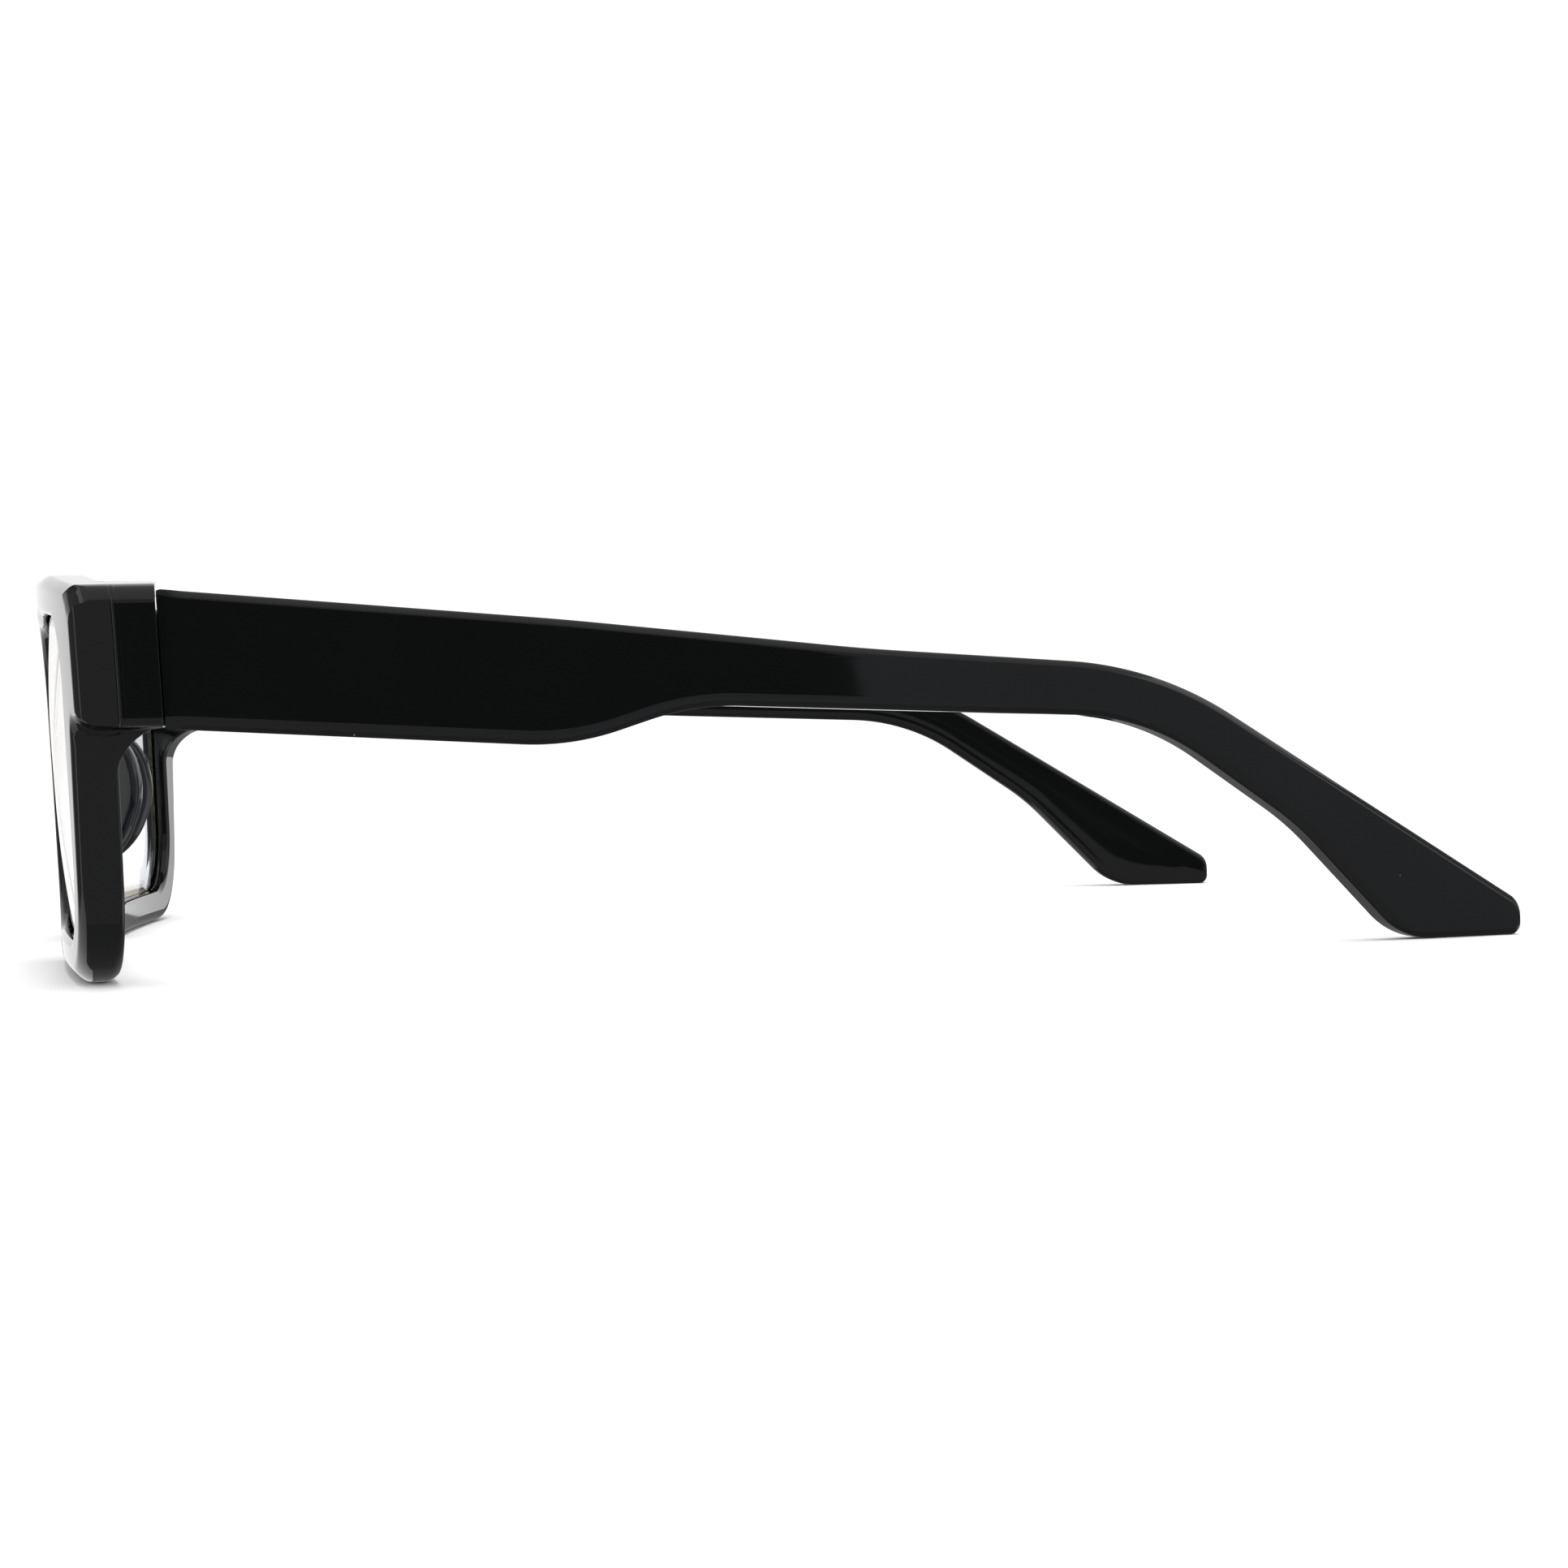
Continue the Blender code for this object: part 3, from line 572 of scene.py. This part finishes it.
templeShape = {
    "halfThickness": 2.15,
    "middleX": 68.0,
    "slope": -0.01212,
    "bow": -0.56,  # per metre
    "tipBow": 0.68,
    "tipBowFrom": 105.6,
    "earThinning": 0.12,
    "seamFlush": 0.65,  # how much shallower the outer bevel is where the temple meets the front
    "seamGap": 0.02,
    "innerBevel": (0.9, 0.8),
    "outerBevel": (1.0, 0.75),
    "spacing": 0.45,
    "rows": 9,
    # y, z, corner radius, bevel pull of the run that follows
    "upper": [
        (0.0, 31.4, 0, 0.08),
        (-0.27, 38.15, 0.25, 0.8),
        (38.0, 34.6, 300, 0.8),
        (68.0, 31.2, 200, 0.8),
        (98.3, 28.85, 38, 0.9),
        (138.35, 3.5, 2.2, 0.35),
        (138.35, 1.7, 0, 0.35),
    ],
    "lower": [
        (0.0, 31.4, 0, 0.08),
        (0.26, 24.95, 0.25, 1.3),
        (38.6, 22.3, 26, 1.3),
        (50.6, 26.05, 26, 1.2),
        (97.0, 23.75, 26, 1.1),
        (113.2, 12.35, 30, 1.1),
        (124.9, 0.0, 8, 1.0),
        (138.35, 0.0, 1.1, 0.35),
        (138.35, 1.7, 0, 0.35),
    ],
    "marks": [
        ((-0.26, 38.0), (0.26, 25.1)),
        ((1.5, 37.95), (1.5, 24.85)),
        ((20.0, 36.2), (20.0, 23.6)),
        ((36.5, 34.7), (36.5, 22.5)),
        ((44.0, 34.0), (44.0, 24.1)),
        ((51.5, 33.0), (51.5, 26.0)),
        ((72.0, 30.9), (72.0, 24.9)),
        ((90.0, 29.4), (88.5, 24.1)),
        ((98.4, 27.9), (95.5, 23.2)),
        ((105.0, 24.6), (101.0, 20.8)),
        ((113.0, 19.6), (108.5, 15.6)),
        ((121.0, 14.5), (115.5, 10.1)),
        ((127.0, 10.7), (120.0, 5.4)),
        ((132.0, 7.5), (125.0, 0.9)),
        ((135.6, 5.2), (131.0, 0.0)),
        ((137.6, 3.9), (137.3, 0.0)),
    ],
}


def templeMiddle(y, shape):
    # the middle plane bows in along its length and straightens a little at the tip
    past = np.maximum(0, y - shape["tipBowFrom"] * mm)
    x = shape["middleX"] * mm + shape["slope"] * y + shape["bow"] * y * y + shape["tipBow"] * past ** 2
    return x, shape["slope"] + 2 * shape["bow"] * y + 2 * shape["tipBow"] * past


def makeTemple(name, shape):
    upper = Outline(shape["upper"], -1, False)
    lower = Outline(shape["lower"], 1, False)
    places = pairedPlaces(upper, lower, shape["marks"], shape["spacing"] * mm)
    half = shape["halfThickness"] * mm
    innerBevel = tuple(v * mm for v in shape["innerBevel"])
    outerBevel = tuple(v * mm for v in shape["outerBevel"])
    edge = slabEdge(half, innerBevel, outerBevel, 0.1, 0.55)
    flat, depth = slabGrid(upper, lower, places, edge, shape["rows"], (0.10 * mm, 0.02 * mm))
    y, z = flat[..., 0] + shape["seamGap"] * mm * (flat[..., 0] < 60 * mm), flat[..., 1]
    ear = smoothStep(y / mm, 80, 118)
    depth = depth * (1 - shape["earThinning"] * ear)
    nearSeam = 1 - smoothStep(y / mm, 0.4, 2.4)
    depth = np.where(depth > 0, depth + (half - depth) * shape["seamFlush"] * nearSeam, depth)
    x, slope = templeMiddle(y, shape)
    size = np.sqrt(1 + slope ** 2)
    px = x + depth / size
    py = y - depth * slope / size
    grid = np.stack([px, py + seamY, z], 2)
    return meshPiece(name, [gridPart(grid, False)])


templeLeft = makeTemple("polished_temple_left", templeShape)
templeRight = mirroredPiece(templeLeft, "polished_temple_right")
for piece, body, node in (
    (templeLeft, "left_temple", "temple_left"),
    (templeRight, "right_temple", "temple_right"),
):
    evenShading(piece)
    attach(piece, body)
    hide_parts(node)
print("temples made:", len(templeLeft.data.polygons), "faces each")


lensShape = {
    "count": 168,  # points round the lens
    "rows": 12,
    "bulge": 0.8,
    "faces": (1.2, 2.8),  # depths of the front and rear faces at the edge
    # pull into the rim, depth behind the rim's front
    "edge": [(0.0, 1.2), (0.7, 1.7), (0.75, 1.8), (0.75, 2.2), (0.7, 2.3), (0.0, 2.8)],
}


def makeLens(name, shape):
    # rows shrink from the edge to the middle, and each bulges by 1 minus the square of its size
    outline = Outline(frontShape["lens"], -1, True)
    places = outline.placeAt(np.arange(shape["count"]) / shape["count"] * outline.lengths.sum())
    edge = outline.at(places)
    centre = edge.mean(0)
    sizes = np.linspace(0, 1, shape["rows"])
    frontFace, rearFace = shape["faces"]

    def faceColumn(size, depth):
        return centre + (edge - centre) * size, (depth - shape["bulge"] * (1 - size ** 2)) * mm

    columns = [faceColumn(size, frontFace) for size in sizes[:-1]]
    columns += [(outline.at(places, pull * mm), depth * mm) for pull, depth in shape["edge"]]
    columns += [faceColumn(size, rearFace) for size in sizes[-2::-1]]
    flat = np.stack([c[0] for c in columns], 1)
    depth = np.stack([np.full(len(places), c[1]) for c in columns], 1)
    x, y = frontPoint(flat[..., 0], depth, flat[..., 1], frontShape)
    grid = np.stack([x, y + seamY, flat[..., 1]], 2)
    return meshPiece(name, [gridPart(grid, True)])


padShape = {
    "halfThickness": 1.2,
    "bevel": (1.15, 1.0),
    "place": (10.4, -10.75, 17.0),
    "splay": -24.0,  # the pads part towards the rear
    "flare": -16.0,  # and towards the bottom
    "root": [(2.1, 8.2, 0, 1), (-0.4, 9.5, 1.6, 1), (-0.4, -9.0, 1.6, 1), (2.3, -7.3, 0, 1)],
    "nose": [(2.1, 8.2, 0, 1), (4.6, 6.9, 6.8, 1), (6.6, 1.0, 9, 1), (5.0, -5.6, 7.6, 1), (2.3, -7.3, 0, 1)],
    "marks": [
        ((0.2, 9.0), (4.0, 7.1)), ((-0.4, 6.0), (5.7, 3.5)),
        ((-0.4, -5.0), (5.3, -3.8)), ((0.4, -8.4), (3.6, -6.4)),
    ],
    "spacing": 0.3,
    "rows": 7,
}


def makePad(name, shape):
    root = Outline(shape["root"], 1, False)
    nose = Outline(shape["nose"], -1, False)
    places = pairedPlaces(root, nose, shape["marks"], shape["spacing"] * mm)
    bevel = tuple(v * mm for v in shape["bevel"])
    edge = slabEdge(shape["halfThickness"] * mm, bevel, bevel, 0.0, 0.0, 0.1 * mm)
    flat, depth = slabGrid(root, nose, places, edge, shape["rows"], (0.0, 0.0))
    local = np.stack([depth, flat[..., 0], flat[..., 1]], 2)
    splay = Matrix.Rotation(math.radians(shape["splay"]), 3, "Z")
    flare = Matrix.Rotation(math.radians(shape["flare"]), 3, "Y")
    grid = local @ np.array(splay @ flare).T + np.array(shape["place"]) * mm
    grid[..., 1] += seamY
    return meshPiece(name, [gridPart(grid, False)])


for maker, shape, label, node, finish in (
    (makeLens, lensShape, "clear_lens", "lens", "lens"),
    (makePad, padShape, "soft_pad", "nose_pad", "pad_acetate"),
):
    left = maker(label + "_left", shape)
    right = mirroredPiece(left, label + "_right")
    for piece, hand in ((left, "_left"), (right, "_right")):
        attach(piece, "front")
        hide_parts(node + hand)
print("lenses and pads made")


hingeShape = {
    "pin": (64.2, 1.2),  # x, y
    "bottom": 27.2,
    "barrelHeight": 1.72,
    "barrelGap": 0.15,
    "barrels": 5,
    "barrelRadius": 1.2,
    "boreRadius": 0.62,
    "softening": 0.1,
    "tongueHalf": 0.9,
    "tongueReach": (1.7, 1.9),  # from the pin to the front's leaf and the temple's
    "frontLeaf": ((62.6, 65.7), (27.2, 36.4), (-1.3, 0.06)),  # x, z and y spans
    "templeLeaf": ((0.5, 13.0), (28.2, 35.4), (65.7, 66.7)),  # y, z and x spans
    "leafCorner": 0.7,
}


def barrelSpan(shape, index):
    low = shape["bottom"] + index * (shape["barrelHeight"] + shape["barrelGap"])
    return low * mm, (low + shape["barrelHeight"]) * mm


def barrelPart(shape, index, toward, reach):
    # seen from above, a circle with a tongue: the larger of the radius and the tongue's edge along each ray
    low, high = barrelSpan(shape, index)
    soft = shape["softening"] * mm
    angle = np.linspace(0, 2 * math.pi, 96, endpoint=False)
    off = angle - toward
    side = shape["tongueHalf"] * mm / np.maximum(np.abs(np.sin(off)), 1e-6)
    end = reach * mm / np.maximum(np.cos(off), 1e-6)
    tongue = np.where(np.cos(off) > 0, np.minimum(side, end), 0)
    outer = np.maximum(shape["barrelRadius"] * mm, tongue)
    bore = np.full_like(outer, shape["boreRadius"] * mm)
    # radius and level round the barrel's section, with its corners softened
    shoulder = soft * 0.3
    rings = [
        (bore + soft, low), (outer - soft, low), (outer - shoulder, low + shoulder), (outer, low + soft),
        (outer, high - soft), (outer - shoulder, high - shoulder), (outer - soft, high), (bore + soft, high),
        (bore, high - soft), (bore, low + soft),
    ]
    radius = np.stack([r for r, _ in rings], 1)
    z = np.broadcast_to(np.array([level for _, level in rings]), radius.shape)
    px = shape["pin"][0] * mm + radius * np.cos(angle)[:, None]
    py = shape["pin"][1] * mm + radius * np.sin(angle)[:, None] + seamY
    return gridPart(np.stack([px, py, z], 2), True)


# A plate with rounded corners. spans: along it, up it and through it.
def leafPart(spans, corner, depthAxis):
    (a0, a1), (z0, z1), (d0, d1) = spans
    middle = (z0 + z1) / 2

    def halfOutline(z, side):
        corners = [(a0, middle, 0, 1), (a0, z, corner, 1), (a1, z, corner, 1), (a1, middle, 0, 1)]
        return Outline(corners, side, False)

    upper, lower = halfOutline(z1, -1), halfOutline(z0, 1)
    marks = [((a0 + corner, z1), (a0 + corner, z0)), ((a1 - corner, z1), (a1 - corner, z0))]
    places = pairedPlaces(upper, lower, marks, 0.3 * mm)
    half = (d1 - d0) / 2 * mm
    bevel = (0.12 * mm, 0.12 * mm)
    edge = slabEdge(half, bevel, bevel, 0.0, 0.0, 0.05 * mm)
    flat, depth = slabGrid(upper, lower, places, edge, 5, (0.0, 0.0))
    depth = depth + (d0 + d1) / 2 * mm
    if depthAxis == "y":
        return gridPart(np.stack([flat[..., 0], depth + seamY, flat[..., 1]], 2), False)
    return gridPart(np.stack([depth, flat[..., 0] + seamY, flat[..., 1]], 2), False)


def makeFrontHinge(name, shape):
    parts = [leafPart(shape["frontLeaf"], shape["leafCorner"], "y")]
    reach = shape["tongueReach"][0]
    parts += [barrelPart(shape, i, -math.pi / 2, reach) for i in range(0, shape["barrels"], 2)]
    return meshPiece(name, parts)


def makeTempleHinge(name, shape):
    parts = [leafPart(shape["templeLeaf"], shape["leafCorner"], "x")]
    reach = shape["tongueReach"][1]
    parts += [barrelPart(shape, i, 0.0, reach) for i in range(1, shape["barrels"], 2)]
    return meshPiece(name, parts)


screwShape = {
    "slotWidth": 0.36,
    "slotDepth": 0.34,
    # radius and height above the hinge's bottom
    "profile": [
        (0.0, 0.02), (0.45, 0.02), (0.56, 0.14), (0.56, 9.3), (0.62, 9.36), (1.02, 9.36), (1.12, 9.46),
        (1.13, 9.75), (1.07, 9.9), (0.92, 9.99), (0.6, 10.06), (0.3, 10.09), (0.0, 10.1),
    ],
}


def makeScrew(name, shape):
    # the profile turned about the pin, then slotted
    profile = np.array(shape["profile"]) * mm
    angle = np.linspace(0, 2 * math.pi, 64, endpoint=False)[:, None]
    px = hingeShape["pin"][0] * mm + profile[:, 0] * np.cos(angle)
    py = hingeShape["pin"][1] * mm + profile[:, 0] * np.sin(angle) + seamY
    z = np.broadcast_to(profile[:, 1] + hingeShape["bottom"] * mm, px.shape)
    screw = meshPiece(name, [gridPart(np.stack([px, py, z], 2), True)])
    top = hingeShape["bottom"] + shape["profile"][-1][1]
    cut = shape["slotWidth"] / 2
    x, y = hingeShape["pin"]
    cutter = meshPiece("slot_cutter", [
        leafPart(((y - 2, y + 2), (top - shape["slotDepth"], top + 1), (x - cut, x + cut)), 0.05, "x"),
    ])
    slot = screw.modifiers.new("slot", "BOOLEAN")
    slot.operation = "DIFFERENCE"
    slot.solver = "EXACT"
    slot.object = cutter
    mesh = bpy.data.meshes.new_from_object(screw.evaluated_get(bpy.context.evaluated_depsgraph_get()))
    screw.modifiers.clear()
    screw.data = mesh
    shadeSoftly(mesh)
    bpy.data.objects.remove(cutter)
    return screw


onFront, onTemples = ("front", "front"), ("left_temple", "right_temple")
for maker, shape, label, node, bodies, finish in (
    (makeFrontHinge, hingeShape, "hinge_knuckles_front", "front_hinge", onFront, "hinge_metal"),
    (makeTempleHinge, hingeShape, "hinge_knuckles_temple", "temple_hinge", onTemples, "hinge_metal"),
    (makeScrew, screwShape, "slotted_screw", "hinge_screw", onFront, "screw_metal"),
):
    left = maker(label + "_left", shape)
    right = mirroredPiece(left, label + "_right")
    for piece, hand, body in ((left, "_left", bodies[0]), (right, "_right", bodies[1])):
        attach(piece, body)
        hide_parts(node + hand)
print("hinges made")


# A socket that takes part in sums: an expression on values adds its Math nodes.
class Wire:
    def __init__(self, finish, socket):
        self.finish = finish
        self.socket = socket

    def math(self, operation, first, second):
        return self.finish.node("Math", {"operation": operation}, {0: first, 1: second})

    def __add__(self, other):
        return self.math("ADD", self, other)

    def __sub__(self, other):
        return self.math("SUBTRACT", self, other)

    def __mul__(self, other):
        return self.math("MULTIPLY", self, other)

    def __lt__(self, other):
        return self.math("LESS_THAN", self, other)

    def __gt__(self, other):
        return self.math("GREATER_THAN", self, other)

    __radd__ = __add__
    __rmul__ = __mul__


# A material being made. node() adds any node, with its settings first and then its sockets' values or links.
class Finish:
    def __init__(self, name):
        self.material = bpy.data.materials.new(name)
        self.material.use_nodes = True
        self.tree = self.material.node_tree
        self.tree.nodes.clear()

    def node(self, kind, settings=None, values=None, out=0):
        made = self.tree.nodes.new("ShaderNode" + kind)
        for key, value in (settings or {}).items():
            if key == "stops":
                for stop, (position, colour) in zip(made.color_ramp.elements, value):
                    stop.position = position
                    stop.color = colour
            else:
                setattr(made, key, value)
        for key, value in (values or {}).items():
            if isinstance(value, Wire):
                self.tree.links.new(value.socket, made.inputs[key])
            else:
                made.inputs[key].default_value = value
        return Wire(self, made.outputs[out]) if made.outputs else None

    def place(self, scale=(1, 1, 1)):
        where = self.node("TexCoord", out="Object")
        return self.node("Mapping", values={"Vector": where, "Scale": scale})

    def noise(self, scale, detail=2.0, stretch=(1, 1, 1)):
        values = {"Vector": self.place(stretch), "Scale": scale, "Detail": detail}
        return self.node("TexNoise", values=values, out="Fac")

    def ramp(self, value, low, high):
        # 0 below low, 1 above high, smooth between
        settings = {"interpolation_type": "SMOOTHSTEP"}
        return self.node("MapRange", settings, {"Value": value, "From Min": low, "From Max": high})

    def blend(self, share, first, second):
        return self.node("Mix", {"data_type": "RGBA"}, {0: share, 6: first, 7: second}, 2)

    def specks(self, scale, size, share):
        # round dots in a few of a grid's cells
        values = {"Vector": self.place(), "Scale": scale}
        distance = self.node("TexVoronoi", {"feature": "F1"}, values, "Distance")
        chosen = self.noise(scale * 0.45, 0.0)
        return (distance < size) * (chosen > 1 - share)

    def bump(self, height, distance, strength=1.0):
        values = {"Height": height, "Distance": distance, "Strength": strength}
        return self.node("Bump", values=values, out="Normal")

    def shader(self, values):
        surface = self.node("BsdfPrincipled", values=values)
        self.node("OutputMaterial", values={"Surface": surface})
        return self.material


finishes = {
    "acetate": {"colour": (0.0022, 0.0026, 0.0025, 1), "polish": 0.03, "handling": 0.05, "waviness": 0.0025},
    "padAcetate": {"colour": (0.004, 0.005, 0.0065, 1), "polish": 0.10, "handling": 0.10, "waviness": 0.003},
    "nickelSilver": {"colour": (0.62, 0.59, 0.54, 1), "roughness": 0.27},
    "screwSteel": {"colour": (0.52, 0.52, 0.53, 1), "roughness": 0.24},
    "wireSteel": {"colour": (0.45, 0.44, 0.42, 1), "roughness": 0.3},
}


def makeAcetate(name, settings):
    finish = Finish(name)
    cloud = finish.noise(70, 3)
    wiped = finish.noise(420, 3, (1, 0.25, 1))
    hairlines = finish.ramp(finish.noise(900, 2, (1, 0.03, 1.4)), 0.62, 0.8)
    dust = finish.specks(430, 0.03, 0.42)
    dark = settings["colour"]
    soft = tuple(v * 1.7 for v in dark[:3]) + (1,)
    base = finish.blend(dust, finish.blend(cloud, dark, soft), (0.2, 0.2, 0.2, 1))
    rough = settings["polish"] + settings["handling"] * wiped * cloud + hairlines * 0.05 + dust * 0.5
    height = cloud + wiped * 0.05 - hairlines * 0.04 + dust * 2.0
    return finish.shader({
        "Base Color": base,
        "Roughness": rough,
        "IOR": 1.49,
        "Normal": finish.bump(height, settings["waviness"] * mm),
    })


def makeMetal(name, settings, brushed):
    finish = Finish(name)
    cloud = finish.noise(260, 3)
    grain = finish.noise(2600, 3, brushed)
    tarnish = finish.ramp(finish.noise(900, 4), 0.5, 0.75)
    colour = settings["colour"]
    darker = tuple(v * 0.62 for v in colour[:3]) + (1,)
    return finish.shader({
        "Base Color": finish.blend(tarnish * 0.5, colour, darker),
        "Metallic": 1.0,
        "Roughness": settings["roughness"] + 0.12 * cloud + 0.1 * tarnish,
        "Normal": finish.bump(grain, 0.01 * mm, 0.7),
    })


def makeLensPlastic(name):
    finish = Finish(name)
    smear = finish.ramp(finish.noise(60, 4), 0.52, 0.75)
    return finish.shader({
        "Base Color": (0.98, 0.985, 0.99, 1),
        "Roughness": smear * 0.012,
        "IOR": 1.5,
        "Transmission Weight": 1.0,
        "Thin Film Thickness": 330.0,
        "Thin Film IOR": 1.38,
        "Normal": finish.bump(finish.noise(35, 1), 0.004 * mm),
    })


acetate = makeAcetate("black acetate", finishes["acetate"])
padAcetate = makeAcetate("pad acetate", finishes["padAcetate"])
nickelSilver = makeMetal("nickel silver", finishes["nickelSilver"], (1, 1, 0.06))
screwSteel = makeMetal("screw steel", finishes["screwSteel"], (1, 1, 0.2))
wireSteel = makeMetal("core wire steel", finishes["wireSteel"], (1, 0.05, 1))
lensPlastic = makeLensPlastic("clear lens plastic")

wearing = {
    "polished_front": acetate,
    "polished_temple": acetate,
    "soft_pad": padAcetate,
    "clear_lens": lensPlastic,
    "hinge_knuckles": nickelSilver,
    "slotted_screw": screwSteel,
}
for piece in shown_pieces():
    for start, material in wearing.items():
        if piece.name.startswith(start):
            piece.data.materials.clear()
            piece.data.materials.append(material)
for name in ("core_wire_left", "core_wire_right"):
    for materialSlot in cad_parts[name].material_slots:
        materialSlot.material = wireSteel
print("finishes made")


studio = {
    "worldStrength": 1.12,
    "floorColour": (0.93, 0.93, 0.93, 1),
    # what glossy surfaces see round the object: each card's spans, one of them a single value, and its glow
    "cards": {
        "dark card": {"x": 0.74, "y": (-0.19, 0.253), "z": (-0.06, 0.4), "glow": (0.015, 0.018, 0.018, 1)},
        "fore card": {"x": 0.75, "y": (-0.9, 0.253), "z": (-1.2, 1.1), "glow": (0.29, 0.29, 0.285, 1)},
        "ear card": {"x": 0.75, "y": (0.253, 1.5), "z": (-1.2, 1.1), "glow": (0.31, 0.32, 0.35, 1)},
        "low card": {"x": -0.75, "y": (-0.16, 1.5), "z": (-1.2, -0.03), "glow": (0.25, 0.25, 0.25, 1)},
        "top card": {"x": (-0.6, 0.75), "y": (-0.9, 0.9), "z": 1.1, "glow": (0.6, 0.56, 0.56, 1)},
        "under card": {"x": (-0.76, 0.75), "y": (-0.9, 1.5), "z": -1.2, "glow": (0.2, 0.2, 0.2, 1)},
        "front card": {"x": (-0.35, 0.5), "y": -0.95, "z": (-0.4, 0.8), "glow": (0.3, 0.3, 0.3, 1)},
        "rear card": {"x": (-0.45, 0.3), "y": 1.3, "z": (-0.4, 0.9), "glow": (0.3, 0.3, 0.3, 1)},
    },
    "lights": {
        "top light": {"place": (0.1, 0.0, 1.0), "size": (0.5, 0.9), "power": 6, "seen": "diffuse"},
    },
}


def flatSheet(name, corners):
    mesh = bpy.data.meshes.new(name)
    mesh.from_pydata(corners, [], [(0, 1, 2, 3)])
    sheet = bpy.data.objects.new(name, mesh)
    bpy.context.scene.collection.objects.link(sheet)
    return sheet


def makeFloor():
    floor = flatSheet("floor", [(-6, -6, 0), (6, -6, 0), (6, 6, 0), (-6, 6, 0)])
    finish = Finish("pale floor")
    floor.data.materials.append(finish.shader({
        "Base Color": studio["floorColour"],
        "Roughness": 0.85 + 0.1 * finish.noise(8),
        "Specular IOR Level": 0.1,
    }))
    floor.visible_glossy = False


# A card that only shows in reflections.
def makeCard(name, corners, colour):
    card = flatSheet(name, corners)
    finish = Finish(name)
    card.data.materials.append(finish.shader({
        "Base Color": (0, 0, 0, 1),
        "Roughness": 1.0,
        "Specular IOR Level": 0.0,
        "Emission Color": colour,
        "Emission Strength": 1.0,
    }))
    card.visible_camera = False
    card.visible_diffuse = False
    card.visible_shadow = False
    card.visible_transmission = False


def makeCards():
    for name, card in studio["cards"].items():
        values = [card[axis] for axis in "xyz"]
        spans = [value if isinstance(value, tuple) else (value, value) for value in values]
        (x0, x1), (y0, y1), (z0, z1) = spans
        if z0 == z1:
            corners = [(x0, y0, z0), (x1, y0, z0), (x1, y1, z0), (x0, y1, z0)]
        else:
            corners = [(x0, y0, z0), (x1, y1, z0), (x1, y1, z1), (x0, y0, z1)]
        makeCard(name, corners, card["glow"])


def makeSoftLight(name, settings):
    data = bpy.data.lights.new(name, "AREA")
    data.shape = "RECTANGLE"
    data.size, data.size_y = settings["size"]
    data.energy = settings["power"]
    light = bpy.data.objects.new(name, data)
    place = Vector(settings["place"])
    light.matrix_world = Matrix.Translation(place) @ place.to_track_quat("Z", "Y").to_matrix().to_4x4()
    light.visible_glossy = settings["seen"] == "glossy"
    light.visible_diffuse = settings["seen"] == "diffuse"
    bpy.context.scene.collection.objects.link(light)


world = bpy.data.worlds.new("studio")
world.use_nodes = True
background = world.node_tree.nodes["Background"]
background.inputs["Color"].default_value = (1, 1, 1, 1)
background.inputs["Strength"].default_value = studio["worldStrength"]
bpy.context.scene.world = world
bpy.context.scene.view_settings.view_transform = "Standard"
makeFloor()
makeCards()
for name, settings in studio["lights"].items():
    makeSoftLight(name, settings)
print("studio lit")
